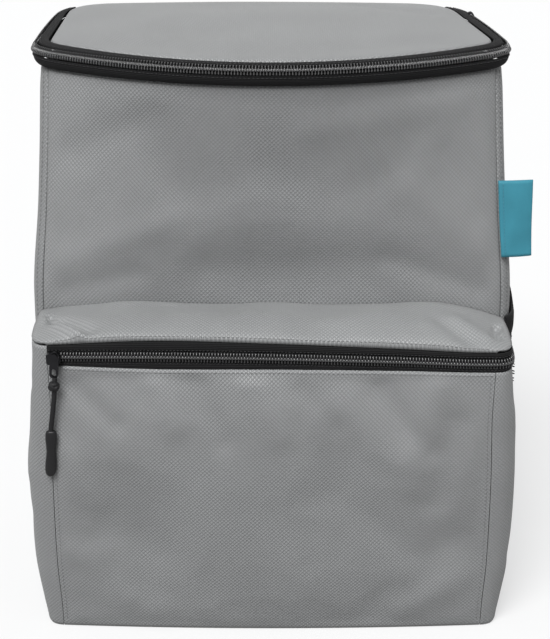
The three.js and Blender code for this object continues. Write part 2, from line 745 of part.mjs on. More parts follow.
function pocketSlider() {
  const shank = sliderThickness + pullerThickness + 2 * seamGap;
  const pegSides = 10;
  const peg = new THREE.LatheGeometry([
    new THREE.Vector2(0, sliderThickness / 2),
    new THREE.Vector2(pegRadius, sliderThickness / 2),
    new THREE.Vector2(pegRadius, shank),
    new THREE.Vector2(pegHeadRadius, shank),
    new THREE.Vector2(pegHeadRadius, shank + pegHeadThickness),
    new THREE.Vector2(0, shank + pegHeadThickness),
  ], pegSides);
  peg.rotateX(Math.PI / 2);
  peg.translate(pegAcross, pegRise, 0);
  const mesh = addPiece("pocket_zip_slider", joined([sliderBlock(), peg]), gunmetal);
  mesh.setRotationFromMatrix(sliderBasis);
  mesh.position.copy(sliderSeat);
}
pocketSlider();

// Flat metal puller with an eye for the peg and a slot for the cord
function zipPuller() {
  const half = pullerWidth / 2;
  const eye = pegRadius + eyeClearance;
  const bottom = pullerLength - half;
  const shape = new THREE.Shape();
  shape.absarc(0, 0, half, 0, Math.PI, false);
  shape.lineTo(-half, -bottom + half);
  shape.absarc(0, -bottom + half, half, Math.PI, 2 * Math.PI, false);
  const hole = new THREE.Path();
  hole.absarc(0, 0, eye, 0, 2 * Math.PI, true);
  const slot = new THREE.Path();
  slot.absarc(0, -bottom + half, eye, Math.PI, 2 * Math.PI, false);
  slot.absarc(0, -bottom + half + slotRise, eye, 0, Math.PI, false);
  shape.holes.push(hole, slot);
  const plate = new THREE.ExtrudeGeometry(shape,
    { depth: pullerThickness, bevelEnabled: false, curveSegments: 5 });
  plate.rotateZ(-pullerTilt);
  plate.translate(pegAcross, pegRise, sliderThickness + seamGap);
  const mesh = addPiece("pocket_zip_puller", plate, gunmetal);
  mesh.setRotationFromMatrix(sliderBasis);
  mesh.position.copy(sliderSeat);
}
zipPuller();

// Cord end, hanging from the slider's seat: a knot under the puller, a short cord and a moulded
// grip. Each stop is measured from the seat: to the right, outwards and down
const knotStop = { right: -0.4, out: 6.2, down: 16.1 };
const cordStops = [
  { right: -0.4, out: 6.3, down: 20.4 },
  { right: -1.1, out: 6.6, down: 26.6 },
  { right: -2.2, out: 6.8, down: 34.1 },
  { right: -3.3, out: 6.9, down: 41.3 },
  { right: -3.8, out: 7.0, down: 45.2 },
];
const gripStop = { right: -3.8, out: 7.0, down: 45.5 };
const gripSway = { middle: 0.6, end: 2.1 };

function hung({ right, out, down }) {
  return new THREE.Vector3(sliderSeat.x + right, sliderSeat.y - out, sliderSeat.z - down);
}

const gripTop = hung(gripStop);
const gripPoints = [
  gripTop,
  new THREE.Vector3(gripTop.x - gripSway.middle, gripTop.y, gripTop.z - gripLength / 2),
  new THREE.Vector3(gripTop.x - gripSway.end, gripTop.y, gripTop.z - gripLength),
];

function pullKnot() {
  const ball = new THREE.SphereGeometry(knotRadius, 10, 8);
  const flatness = 0.85;
  ball.scale(1, flatness, 1);
  addPiece("pull_knot", ball, blackRubber).position.copy(hung(knotStop));
}
pullKnot();

function pullCord() {
  const section = new THREE.Shape();
  section.absarc(0, 0, cordDiameter / 2, 0, 2 * Math.PI, false);
  const curve = new THREE.CatmullRomCurve3(cordStops.map(hung));
  const steps = Math.ceil(curve.getLength() / (2 * cordDiameter));
  addPiece("pull_cord", new THREE.ExtrudeGeometry(section,
    { steps, curveSegments: 8, extrudePath: curve }), blackRubber);
}
pullCord();

// Waisted, flattened grip with rounded ends: swell of its section along its length
const gripProfile = [
  { along: 0.00, swell: 0.62 },
  { along: 0.05, swell: 0.95 },
  { along: 0.20, swell: 0.98 },
  { along: 0.45, swell: 0.80 },
  { along: 0.75, swell: 0.98 },
  { along: 0.93, swell: 0.85 },
  { along: 1.00, swell: 0.45 },
];

function pullGrip() {
  const curve = new THREE.QuadraticBezierCurve3(...gripPoints);
  const sides = 10;
  const rings = gripProfile.map(({ along, swell }) => {
    const at = curve.getPoint(along);
    return Array.from({ length: sides }, (_, i) => {
      const turn = 2 * Math.PI * i / sides;
      return new THREE.Vector3(at.x + Math.cos(turn) * swell * gripWidth / 2,
        at.y + Math.sin(turn) * swell * gripThickness / 2, at.z);
    });
  });
  addPiece("pull_grip", ringSolid(rings), blackRubber);
}
pullGrip();

// Label folded into the right front seam, standing out to the side
function sideLabel() {
  const bottom = labelCentreHeight - labelHeight / 2;
  const [rows, columns] = [2, 5];
  const face = (depth) => grid(rows, columns, (v, u) => {
    const z = bottom + v * labelHeight;
    const seam = bodySides(z)[1].getPoint(0);
    const reach = labelReach * (1 - labelLean * (1 - v));
    const swing = labelSwing * u * u;
    return new THREE.Vector3(seam.x + u * reach, seam.y - restGap - depth + swing, z);
  });
  addPiece("side_label", sheetSolid(face(labelThickness), face(0)), labelCloth);
}
sideLabel();

// Place off the right side, at a share along and a height: net and binding stand off there
const netTaper = 1.4;
const netEndPull = 0.09;

function netPlace(share, z, standOff, thick) {
  const along = netSeam + share * (1 - 2 * netSeam);
  const away = netClearance + standOff * Math.sin(Math.PI * share) ** netTaper;
  return raised(onPath(bodySides(z)[1], along), z, away + thick);
}

function netBinding() {
  const low = netHeight + seamGap;
  const points = (thick) => grid(1, netColumns, (v, across) => {
    const u = towardsEnds(across);
    return netPlace(u, low + v * bindingHeight, bindingStandOff, thick);
  });
  addPiece("mesh_pocket_binding", sheetSolid(points(bindingThickness), points(0)), blackTape);
}
netBinding();

// Diamond lattice: cells share corner points, each full cell has a diamond hole
function netLattice() {
  const vertices = [];
  const triangles = [];
  const known = new Map();
  const place = (i, j, thick) => {
    const z = netFoot + (j / netRows) * (netHeight - netFoot);
    const swell = rowAt(netProfile, (z - netFoot) / (netHeight - netFoot)).swell;
    return netPlace(towardsEnds(i / netColumns, netEndPull), z, swell * netBulge, thick);
  };
  const vertex = (i, j, thick) => {
    const key = [i.toFixed(4), j.toFixed(4), thick].join();
    if (!known.has(key)) {
      known.set(key, vertices.length);
      vertices.push(place(i, j, thick));
    }
    return known.get(key);
  };
  const face = (corners) => {
    for (let k = 1; k < corners.length - 1; k += 1) {
      const fan = [corners[0], corners[k], corners[k + 1]];
      triangles.push(fan.map(([i, j]) => vertex(i, j, netThickness)));
      triangles.push(fan.map(([i, j]) => vertex(i, j, 0)).reverse());
    }
  };
  const wall = (a, b) => {
    const [a1, b1] = [vertex(...a, netThickness), vertex(...b, netThickness)];
    const [a0, b0] = [vertex(...a, 0), vertex(...b, 0)];
    triangles.push([a1, a0, b0], [a1, b0, b1]);
  };
  const cellWidth = bodyDepth / netColumns;
  const cellHeight = (netHeight - netFoot) / netRows;
  const reach = cellWidth * cellHeight / Math.hypot(cellWidth, cellHeight);
  const hole = 1 - netStrand / 2 / reach;
  for (let i = 0; i <= netColumns; i += 1) {
    for (let j = i % 2; j <= netRows; j += 2) {
      const around = [[i + 1, j], [i, j + 1], [i - 1, j], [i, j - 1]];
      const inside = ([a, b]) => a >= 0 && a <= netColumns && b >= 0 && b <= netRows;
      const corners = around.filter(inside);
      if (corners.length === 4) {
        const inner = corners.map(([a, b]) => [i + (a - i) * hole, j + (b - j) * hole]);
        corners.forEach((corner, k) => {
          const next = (k + 1) % 4;
          face([corner, corners[next], inner[next], inner[k]]);
          wall(inner[next], inner[k]);
        });
      } else if (corners.length === 3) {
        const gap = around.findIndex((corner) => !inside(corner));
        const ordered = [1, 2, 3].map((k) => around[(gap + k) % 4]);
        face(ordered);
        wall(ordered[2], ordered[0]);
      } else {
        const first = around.findIndex((corner, k) => inside(corner) && inside(around[(k + 1) % 4]));
        const ordered = [around[first], around[(first + 1) % 4]];
        face([[i, j], ...ordered]);
        wall([i, j], ordered[0]);
        wall(ordered[1], [i, j]);
      }
    }
  }
  return closedGeometry(vertices, triangles);
}

addPiece("mesh_pocket_net", netLattice(), blackCoil);

// Point off the back panel, at a place across and a height
function backPoint(x, z, offset) {
  const path = bodySides(z)[2];
  return raised(onPath(path, 0.5 - x / path.getLength()), z, offset);
}

const acrossAxis = new THREE.Vector3(1, 0, 0);
const upAxis = new THREE.Vector3(0, 0, 1);

// Padded shoulder strap, from its seam on the back panel down to the adjuster
function strapCurve(hand) {
  const x = hand * strapSpacing / 2;
  const route = [
    { lean: 0.00, drop: 0.000, away: 0.00 },
    { lean: 0.00, drop: 0.000, away: 0.45 },
    { lean: 0.01, drop: 0.070, away: 0.95 },
    { lean: 0.10, drop: 0.400, away: 1.00 },
    { lean: 0.26, drop: 0.700, away: 0.80 },
    { lean: 0.38, drop: 0.920, away: 0.56 },
    { lean: 0.38, drop: 1.000, away: 0.55 },
  ];
  return new THREE.CatmullRomCurve3(route.map(({ lean, drop, away }) => {
    const z = strapTop - drop * (strapTop - strapEnd);
    return backPoint(x * (1 + lean), z, sewnGap + away * strapStandOff);
  }));
}

// Adjuster with two slots, its width across and its height up, centred on its middle bar
function adjuster() {
  const height = 3 * buckleBar + 2 * slotHeight;
  const [w, h] = [buckleWidth / 2, height / 2];
  const shape = new THREE.Shape();
  shape.moveTo(-w, -h);
  shape.lineTo(w, -h);
  shape.lineTo(w, h);
  shape.lineTo(-w, h);
  const slotHalf = webbingWidth / 2 + 2 * restGap;
  [-1, 1].forEach((hand) => {
    const middle = hand * (buckleBar + slotHeight) / 2;
    const slot = new THREE.Path();
    slot.moveTo(-slotHalf, middle - slotHeight / 2);
    slot.lineTo(-slotHalf, middle + slotHeight / 2);
    slot.lineTo(slotHalf, middle + slotHeight / 2);
    slot.lineTo(slotHalf, middle - slotHeight / 2);
    shape.holes.push(slot);
  });
  const plate = new THREE.ExtrudeGeometry(shape, { depth: buckleThickness, bevelEnabled: false });
  plate.translate(0, 0, -buckleThickness / 2);
  plate.rotateX(Math.PI / 2);
  return plate;
}

// Webbing's route, as shares: stops between its foot and the adjuster, and the shoulders of its
// turn through the lower slot
const webbingRoute = { rise: 0.12, middle: 0.5, shoulder: 0.7, shoulderRise: 0.5 };

[["left", -1], ["right", 1]].forEach(([name, hand]) => {
  const curve = strapCurve(hand);
  addPiece(`shoulder_strap_${name}`,
    sweptBand(curve, acrossAxis, strapWidth, strapThickness, 14, 0.5), cloth);
  const end = curve.getPoint(1);
  const height = 3 * buckleBar + 2 * slotHeight;
  const centre = new THREE.Vector3(end.x, end.y, strapEnd - strapSettle - height / 2);
  const buckle = addPiece(`strap_buckle_${name}`, adjuster(), blackRubber);
  buckle.position.copy(centre);
  const lowSlot = centre.z - (buckleBar + slotHeight) / 2;
  const bend = buckleThickness / 2 + restGap + webbingThickness / 2;
  const slack = (slotHeight - webbingThickness) / 2 - seamGap;
  const shoulder = bend * webbingRoute.shoulder;
  const shoulderHeight = lowSlot + slack * webbingRoute.shoulderRise;
  const foot = backPoint(hand * webbingFootSpread, webbingFoot, sewnGap);
  const lifted = backPoint(hand * webbingFootSpread, webbingFoot, sewnGap + webbingLift);
  const under = lowSlot - slotHeight / 2 - buckleBar;
  const stop = (right, away, z) => new THREE.Vector3(centre.x + right, centre.y + away, z);
  const route = [
    foot,
    lifted,
    lifted.clone().lerp(centre, webbingRoute.rise).add(new THREE.Vector3(0, webbingLift, 0)),
    lifted.clone().lerp(centre, webbingRoute.middle),
    stop(hand * webbingLean, -bend - webbingFlare, under - webbingEase),
    stop(0, -bend, under + buckleBar / 2),
    stop(0, -shoulder, shoulderHeight),
    stop(0, 0, lowSlot + slack),
    stop(0, shoulder, shoulderHeight),
    stop(0, bend, under + buckleBar / 2),
    stop(0, bend + webbingFlare / 2, under - webbingEase),
    stop(0, bend + webbingFlare, under - webbingTail),
  ];
  addPiece(`strap_webbing_${name}`, sweptBand(new THREE.CatmullRomCurve3(route), acrossAxis,
    webbingWidth, webbingThickness, 2 * (route.length - 1), 0.9), blackTape);
});

// Grab handle of webbing at the top of the back
function grabHandle() {
  const half = handleSpan / 2;
  const route = [
    { across: -1.00, away: 0.00, drop: 0.0 },
    { across: -1.00, away: 0.35, drop: 0.0 },
    { across: -0.60, away: 0.92, drop: 0.6 },
    { across: 0.00, away: 1.00, drop: 1.0 },
    { across: 0.60, away: 0.92, drop: 0.6 },
    { across: 1.00, away: 0.35, drop: 0.0 },
    { across: 1.00, away: 0.00, drop: 0.0 },
  ];
  const curve = new THREE.CatmullRomCurve3(route.map(({ across, away, drop }) => backPoint(
    across * half, handleHeight - drop * handleSag, sewnGap + away * handleReach)));
  addPiece("grab_handle",
    sweptBand(curve, upAxis, handleWidth, handleThickness, 14, 0.7), blackTape);
}
grabHandle();

export default group;
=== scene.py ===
import math

import bpy
import numpy as np
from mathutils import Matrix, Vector
from mathutils.bvhtree import BVHTree


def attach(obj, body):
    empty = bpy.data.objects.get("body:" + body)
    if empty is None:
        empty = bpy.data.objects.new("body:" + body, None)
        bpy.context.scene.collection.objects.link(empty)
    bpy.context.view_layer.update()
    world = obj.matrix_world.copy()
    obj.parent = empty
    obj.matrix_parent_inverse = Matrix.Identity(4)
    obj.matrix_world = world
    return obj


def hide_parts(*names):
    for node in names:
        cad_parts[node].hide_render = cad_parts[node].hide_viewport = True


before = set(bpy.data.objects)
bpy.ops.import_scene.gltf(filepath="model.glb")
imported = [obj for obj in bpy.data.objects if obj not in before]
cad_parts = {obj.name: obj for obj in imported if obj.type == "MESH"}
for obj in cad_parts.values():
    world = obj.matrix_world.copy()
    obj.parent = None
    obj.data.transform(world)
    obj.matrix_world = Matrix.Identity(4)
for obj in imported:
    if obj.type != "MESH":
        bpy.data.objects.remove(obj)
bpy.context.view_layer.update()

mm = 0.001
scene = bpy.context.scene


# Studio: a white floor under an even white sky, one broad soft sun from above and a little to
# the left, a weak fill from behind, and the camera where the photograph was taken from.
camera_distance = 0.9042
camera_height = 0.5669
camera_pitch = math.radians(24.16)
photo_height_px = 639
middle_off_px = 3
camera_data = bpy.data.cameras.new("camera")
camera_data.sensor_width = 36
camera_data.lens = 82.32
camera_data.shift_x = middle_off_px / photo_height_px
camera = bpy.data.objects.new("camera", camera_data)
camera.location = (0, -camera_distance, camera_height)
camera.rotation_euler = (math.pi / 2 - camera_pitch, 0, 0)
scene.collection.objects.link(camera)
scene.camera = camera

sky = bpy.data.worlds.new("sky")
sky.use_nodes = True
sky.node_tree.nodes["Background"].inputs["Color"].default_value = (1, 1, 1, 1)
sky.node_tree.nodes["Background"].inputs["Strength"].default_value = 0.42
scene.world = sky
scene.view_settings.view_transform = "Standard"

for light_name, energy, breadth, tilt, turn in (("soft_sun", 3.9, 34, 30, -12),
                                                ("fill_behind", 0.35, 70, -80, 10)):
    light_data = bpy.data.lights.new(light_name, "SUN")
    light_data.energy = energy
    light_data.angle = math.radians(breadth)
    light = bpy.data.objects.new(light_name, light_data)
    light.rotation_euler = (math.radians(tilt), math.radians(turn), 0)
    scene.collection.objects.link(light)


def plain_material(name, color, roughness, specular=0.5):
    material = bpy.data.materials.new(name)
    material.use_nodes = True
    shader = material.node_tree.nodes["Principled BSDF"]
    shader.inputs["Base Color"].default_value = (*color, 1)
    shader.inputs["Roughness"].default_value = roughness
    shader.inputs["Specular IOR Level"].default_value = specular
    return material


floor_half = 7
floor_mesh = bpy.data.meshes.new("studio_floor")
floor_mesh.from_pydata([(x * floor_half, y * floor_half, 0) for x, y in
                        ((-1, -1), (1, -1), (1, 1), (-1, 1))], [], [(0, 1, 2, 3)])
studio_white = plain_material("studio_white", (0.30, 0.30, 0.30), 0.9, 0.1)
floor_shader = studio_white.node_tree.nodes["Principled BSDF"]
floor_shader.inputs["Emission Color"].default_value = (0.99, 0.995, 1, 1)
seen = studio_white.node_tree.nodes.new("ShaderNodeLightPath")
glow = studio_white.node_tree.nodes.new("ShaderNodeMath")
glow.operation = "MULTIPLY_ADD"
glow.inputs[1].default_value = 0.52
glow.inputs[2].default_value = 0.02
studio_white.node_tree.links.new(seen.outputs["Is Camera Ray"], glow.inputs[0])
studio_white.node_tree.links.new(glow.outputs[0], floor_shader.inputs["Emission Strength"])
floor_mesh.materials.append(studio_white)
floor = bpy.data.objects.new("studio_floor", floor_mesh)
floor.location.z = -0.1 * mm
scene.collection.objects.link(floor)


# Cord end on the pocket's puller: a short braided cord tied in a knot under the puller's
# slot and moulded into a waisted rubber grip. The cord hangs down the pocket's left corner.
def link(material, source, target):
    material.node_tree.links.new(source, target)


def add_node(material, kind, **values):
    node = material.node_tree.nodes.new(kind)
    for name, value in values.items():
        if hasattr(node, name):
            setattr(node, name, value)
        else:
            node.inputs[name.replace("_", " ")].default_value = value
    return node


def new_group(name, inputs, outputs):
    group = bpy.data.node_groups.new(name, "ShaderNodeTree")
    for label, kind, value in inputs:
        socket = group.interface.new_socket(label, in_out="INPUT", socket_type=kind)
        if value is not None:
            socket.default_value = value
    for label, kind in outputs:
        group.interface.new_socket(label, in_out="OUTPUT", socket_type=kind)
    return group, group.nodes.new("NodeGroupInput"), group.nodes.new("NodeGroupOutput")


def calculation(group, operation, *values):
    node = group.nodes.new("ShaderNodeMath")
    node.operation = operation
    for slot_number, value in enumerate(values):
        if isinstance(value, (int, float)):
            node.inputs[slot_number].default_value = value
        else:
            group.links.new(value, node.inputs[slot_number])
    return node.outputs[0]


# Handling marks shared by every finish: slow changes of tone and gloss, and a fine grain
def build_wear():
    group, given, result = new_group(
        "handling_wear",
        [("Place", "NodeSocketVector", None), ("Patch Size", "NodeSocketFloat", 0.03),
         ("Grain Size", "NodeSocketFloat", 0.0008)],
        [("Tone", "NodeSocketFloat"), ("Grain", "NodeSocketFloat")])
    outputs = []
    for size, detail in (("Patch Size", 3), ("Grain Size", 2)):
        noise = group.nodes.new("ShaderNodeTexNoise")
        noise.inputs["Detail"].default_value = detail
        group.links.new(given.outputs["Place"], noise.inputs["Vector"])
        group.links.new(calculation(group, "DIVIDE", 1, given.outputs[size]), noise.inputs["Scale"])
        outputs.append(noise.outputs[0])
    group.links.new(outputs[0], result.inputs["Tone"])
    group.links.new(outputs[1], result.inputs["Grain"])
    return group


handling_wear = build_wear()


def finish_material(name, color, roughness, tone=0.12, patch=0.03, grain=0.0008, grain_depth=0.00003,
                    place="Object", specular=0.5, metallic=0.0, sheen=0.0):
    material = plain_material(name, color, roughness, specular)
    shader = material.node_tree.nodes["Principled BSDF"]
    shader.inputs["Metallic"].default_value = metallic
    shader.inputs["Sheen Weight"].default_value = sheen
    if place == "Object":
        source = add_node(material, "ShaderNodeTexCoord").outputs["Object"]
    else:
        source = add_node(material, "ShaderNodeAttribute", attribute_name=place).outputs["Vector"]
    wear = add_node(material, "ShaderNodeGroup", node_tree=handling_wear)
    wear.inputs["Patch Size"].default_value = patch
    wear.inputs["Grain Size"].default_value = grain
    link(material, source, wear.inputs["Place"])
    shade = add_node(material, "ShaderNodeMapRange")
    shade.inputs["From Min"].default_value = 0.3
    shade.inputs["From Max"].default_value = 0.7
    shade.inputs["To Min"].default_value = 1 - tone
    shade.inputs["To Max"].default_value = 1 + tone
    link(material, wear.outputs["Tone"], shade.inputs["Value"])
    base = add_node(material, "ShaderNodeVectorMath", operation="SCALE")
    base.inputs[0].default_value = color
    link(material, shade.outputs[0], base.inputs["Scale"])
    link(material, base.outputs[0], shader.inputs["Base Color"])
    gloss = add_node(material, "ShaderNodeMapRange")
    gloss.inputs["To Min"].default_value = max(roughness - 0.08, 0.05)
    gloss.inputs["To Max"].default_value = roughness + 0.08
    link(material, wear.outputs["Tone"], gloss.inputs["Value"])
    link(material, gloss.outputs[0], shader.inputs["Roughness"])
    bump = add_node(material, "ShaderNodeBump")
    bump.name = "grain_bump"
    bump.inputs["Distance"].default_value = grain_depth
    link(material, wear.outputs["Grain"], bump.inputs["Height"])
    link(material, bump.outputs[0], shader.inputs["Normal"])
    return material


def add_piece(name, data, material, slot, *stands_for):
    piece = bpy.data.objects.new(name, data)
    scene.collection.objects.link(piece)
    data.materials.append(material)
    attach(piece, "root")
    if stands_for:
        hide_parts(*stands_for)
    return piece


def quad_faces(rows, columns, around=False):
    index = np.arange(rows * columns).reshape(rows, columns)
    if around:
        index = np.hstack([index, index[:, :1]])
    return np.stack([index[:-1, :-1], index[:-1, 1:], index[1:, 1:], index[1:, :-1]], -1).reshape(-1, 4)


def set_place(mesh, place):
    attribute = mesh.attributes.new("cloth_place", "FLOAT_VECTOR", "POINT")
    attribute.data.foreach_set("vector", np.asarray(place, dtype=np.float32).ravel())


def raw_mesh(name, points, faces, place=None):
    mesh = bpy.data.meshes.new(name)
    mesh.from_pydata(np.asarray(points).reshape(-1, 3).tolist(), [], [list(map(int, f)) for f in faces])
    if place is not None:
        set_place(mesh, place)
    mesh.shade_smooth()
    return mesh


# Faces of a closed tube whose rings of points start at the given number
def tube_faces(first, count, sides):
    faces = []
    for r in range(count - 1):
        for k in range(sides):
            m = (k + 1) % sides
            a, b = first + r * sides, first + (r + 1) * sides
            faces.append([a + k, b + k, b + m, a + m])
    faces.append([first + k for k in range(sides)])
    faces.append([first + (count - 1) * sides + k for k in range(sides)][::-1])
    return faces


def distance_along(line):
    return np.concatenate([[0], np.cumsum(np.linalg.norm(np.diff(line, axis=0), axis=1))])


def ring_tube(name, rings):
    rings = np.asarray(rings)
    count, sides = rings.shape[:2]
    faces = [list(f) for f in quad_faces(count, sides, around=True)]
    faces.append(list(range(sides))[::-1])
    faces.append([(count - 1) * sides + i for i in range(sides)])
    return raw_mesh(name, rings, faces)


braid_black = finish_material("braided_cord", (0.012, 0.012, 0.013), 0.62, grain=0.0011, grain_depth=0.00025,
                              specular=0.3)
grip_rubber = finish_material("moulded_rubber", (0.011, 0.011, 0.012), 0.42, grain=0.0006,
                              grain_depth=0.00002, specular=0.35)
knot_centre = np.array([-129.5, -129.2, 175.7]) * mm
cord_route = np.array([
    (-128.7, -128.1, 180.9), (-129.0, -128.6, 178.5), (-129.3, -129.1, 175.7), (-129.5, -129.3, 171.4),
    (-130.2, -129.6, 165.2), (-131.3, -129.8, 157.7), (-132.4, -129.9, 150.5), (-132.9, -130.0, 146.6),
    (-133.0, -130.0, 143.3)]) * mm
cord_width = 3.0 * mm


def smooth_route(points, count):
    length = distance_along(points)
    slopes = np.gradient(points, length, axis=0)
    route = []
    for at in np.linspace(0, length[-1], count):
        low = min(int(np.searchsorted(length, at, side="right")) - 1, len(points) - 2)
        span = length[low + 1] - length[low]
        t = (at - length[low]) / span
        route.append((1 + 2 * t) * (1 - t) ** 2 * points[low] + t * (1 - t) ** 2 * span * slopes[low]
                     + t * t * (3 - 2 * t) * points[low + 1] - t * t * (1 - t) * span * slopes[low + 1])
    return np.array(route)


def cord_curve(name, route, width):
    data = bpy.data.curves.new(name, "CURVE")
    data.dimensions = "3D"
    data.bevel_depth = width / 2
    data.bevel_resolution = 3
    data.use_fill_caps = True
    spline = data.splines.new("POLY")
    spline.points.add(len(route) - 1)
    for point, place in zip(spline.points, route):
        point.co = (*place, 1)
    return data


cord_points = smooth_route(cord_route, 24)
pull_cord = add_piece("pull_cord_braided", cord_curve("pull_cord_braided", cord_points, cord_width),
                      braid_black, "black_cord", "pull_cord")


# Knot of the same cord, tied under the puller: three turns drawn tight into a ball. Each
# turn is a closed ring of cord, tilted its own way.
def knot_mesh():
    turn_radius, wire = 2.1 * mm, 1.55 * mm
    tilts = [(0.5, 0.2, 0.3), (-0.7, 0.4, 1.4), (0.2, -0.9, 2.4)]
    points, faces = [], []
    around, sides = 22, 8
    for tilt_x, tilt_y, start in tilts:
        for i in range(around):
            a = 2 * math.pi * i / around + start
            for k in range(sides):
                b = 2 * math.pi * k / sides
                reach = turn_radius + wire * math.cos(b)
                x, y, z = reach * math.cos(a), reach * math.sin(a), wire * math.sin(b)
                y, z = (y * math.cos(tilt_x) - z * math.sin(tilt_x),
                        y * math.sin(tilt_x) + z * math.cos(tilt_x))
                x, z = (x * math.cos(tilt_y) - z * math.sin(tilt_y),
                        x * math.sin(tilt_y) + z * math.cos(tilt_y))
                points.append(knot_centre + np.array([x, y * 0.85, z]))
        first = len(points) - around * sides
        index = first + np.arange(around * sides).reshape(around, sides)
        index = np.vstack([index, index[:1]])
        index = np.hstack([index, index[:, :1]])
        corners = [index[:-1, :-1], index[1:, :-1], index[1:, 1:], index[:-1, 1:]]
        faces += np.stack(corners, -1).reshape(-1, 4).tolist()
    return raw_mesh("pull_knot_tied", points, faces)


pull_knot = add_piece("pull_knot_tied", knot_mesh(), braid_black, "black_cord", "pull_knot")


# Grip on the cord's end: one moulding of matt black rubber, thin at the waist, drawn as
# rings of a squarish oval along a slight bend
grip_profile = [(0.00, 0.60), (0.015, 0.80), (0.05, 0.93), (0.12, 0.98), (0.20, 0.98), (0.32, 0.88),
                (0.45, 0.80), (0.60, 0.87), (0.75, 0.97), (0.86, 0.96), (0.93, 0.86), (0.98, 0.66),
                (1.00, 0.42)]
grip_half_width, grip_half_depth = 3.6 * mm, 2.3 * mm
grip_route = [np.array(p) * mm for p in ((-132.9, -130.0, 146.3), (-133.5, -130.0, 130.8),
                                         (-135.0, -130.0, 115.3))]


def grip_mesh():
    rings = []
    for along, swell in grip_profile:
        centre = ((1 - along) ** 2 * grip_route[0] + 2 * along * (1 - along) * grip_route[1]
                  + along ** 2 * grip_route[2])
        ring = []
        for k in range(20):
            a = 2 * math.pi * k / 20
            flat = abs(math.cos(a)) ** 0.8 * math.copysign(1, math.cos(a))
            ring.append(centre + np.array([flat * swell * grip_half_width,
                                           math.sin(a) * swell * grip_half_depth, 0]))
        rings.append(ring)
    return ring_tube("pull_grip_moulded", rings[::-1])


pull_grip = add_piece("pull_grip_moulded", grip_mesh(), grip_rubber, "moulded_grip", "pull_grip")


# Box of the bag: five padded panels of embossed polyester over foam, sewn edge to edge.
# Each panel's edges roll into its seams, and a row of topstitching runs beside each seam.
half_width, half_depth, body_height = 151 * mm, 85 * mm, 346 * mm
wall_thickness, base_thickness, base_edge_round = 5 * mm, 6 * mm, 6 * mm
seam_gap = 0.3 * mm
seam_roll = 2.4 * mm
lid_height = body_height + 12.7 * mm

body_sections = [
    dict(height=0.00, front_half=0.970, front_edge=-0.83, front_bow=0.09, side_bow=0.020, front_round=0.20,
         back_shift=0.000, back_half=0.930, back_edge=0.94, back_bow=0.060, back_round=0.26),
    dict(height=0.25, front_half=0.988, front_edge=-0.84, front_bow=0.09, side_bow=0.030, front_round=0.19,
         back_shift=0.000, back_half=0.940, back_edge=0.94, back_bow=0.060, back_round=0.26),
    dict(height=0.60, front_half=0.990, front_edge=-0.85, front_bow=0.06, side_bow=0.020, front_round=0.19,
         back_shift=0.000, back_half=0.940, back_edge=0.94, back_bow=0.060, back_round=0.26),
    dict(height=0.76, front_half=0.962, front_edge=-0.72, front_bow=0.22, side_bow=0.010, front_round=0.18,
         back_shift=-0.008, back_half=0.915, back_edge=0.93, back_bow=0.070, back_round=0.28),
    dict(height=0.88, front_half=0.948, front_edge=-0.60, front_bow=0.37, side_bow=0.000, front_round=0.18,
         back_shift=-0.022, back_half=0.885, back_edge=0.92, back_bow=0.080, back_round=0.30),
    dict(height=1.00, front_half=0.936, front_edge=-0.47, front_bow=0.53, side_bow=0.000, front_round=0.17,
         back_shift=-0.045, back_half=0.840, back_edge=0.895, back_bow=0.105, back_round=0.34),
]
corner_seams = [0.65, 0.35, 0.5, 0.5]


def row_at(table, height):
    place = min(max(height, table[0]["height"]), table[-1]["height"])
    low = 0
    while low < len(table) - 2 and place > table[low + 1]["height"]:
        low += 1
    a, b = table[low], table[low + 1]
    before, after = table[max(low - 1, 0)], table[min(low + 2, len(table) - 1)]
    span = b["height"] - a["height"]
    t = (place - a["height"]) / span
    row = {}
    for key in a:
        slope_a = (b[key] - before[key]) / (b["height"] - before["height"])
        slope_b = (after[key] - a[key]) / (after["height"] - a["height"])
        row[key] = ((1 + 2 * t) * (1 - t) ** 2 * a[key] + t * (1 - t) ** 2 * span * slope_a
                    + t * t * (3 - 2 * t) * b[key] - t * t * (1 - t) * span * slope_b)
    return row


def bezier_part(curve, start, end):
    p0, p1, p2 = curve

    def blend(s, t):
        return p0 * (1 - s) * (1 - t) + p1 * (s * (1 - t) + t * (1 - s)) + p2 * s * t
    return blend(start, start), blend(start, end), blend(end, end)


def bowed_side(start, end, bow):
    along = (end - start) / np.linalg.norm(end - start)
    return start, (start + end) / 2 + np.array([along[1], -along[0]]) * 2 * bow, end


def round_corner(before, after, radius):
    cut_before = radius / np.linalg.norm(before[2] - before[0])
    cut_after = radius / np.linalg.norm(after[2] - after[0])
    start = bezier_part(before, 1 - cut_before, 1)[0]
    end = bezier_part(after, 0, cut_after)[2]
    return (start, before[2], end), cut_before, cut_after


# Fine points along joined parabolas
def drawn(parts):
    t = np.linspace(0, 1, 33)[:, None]
    lines = [(1 - t) ** 2 * p0 + 2 * t * (1 - t) * p1 + t * t * p2 for p0, p1, p2 in parts]
    return np.vstack([lines[0]] + [line[1:] for line in lines[1:]])


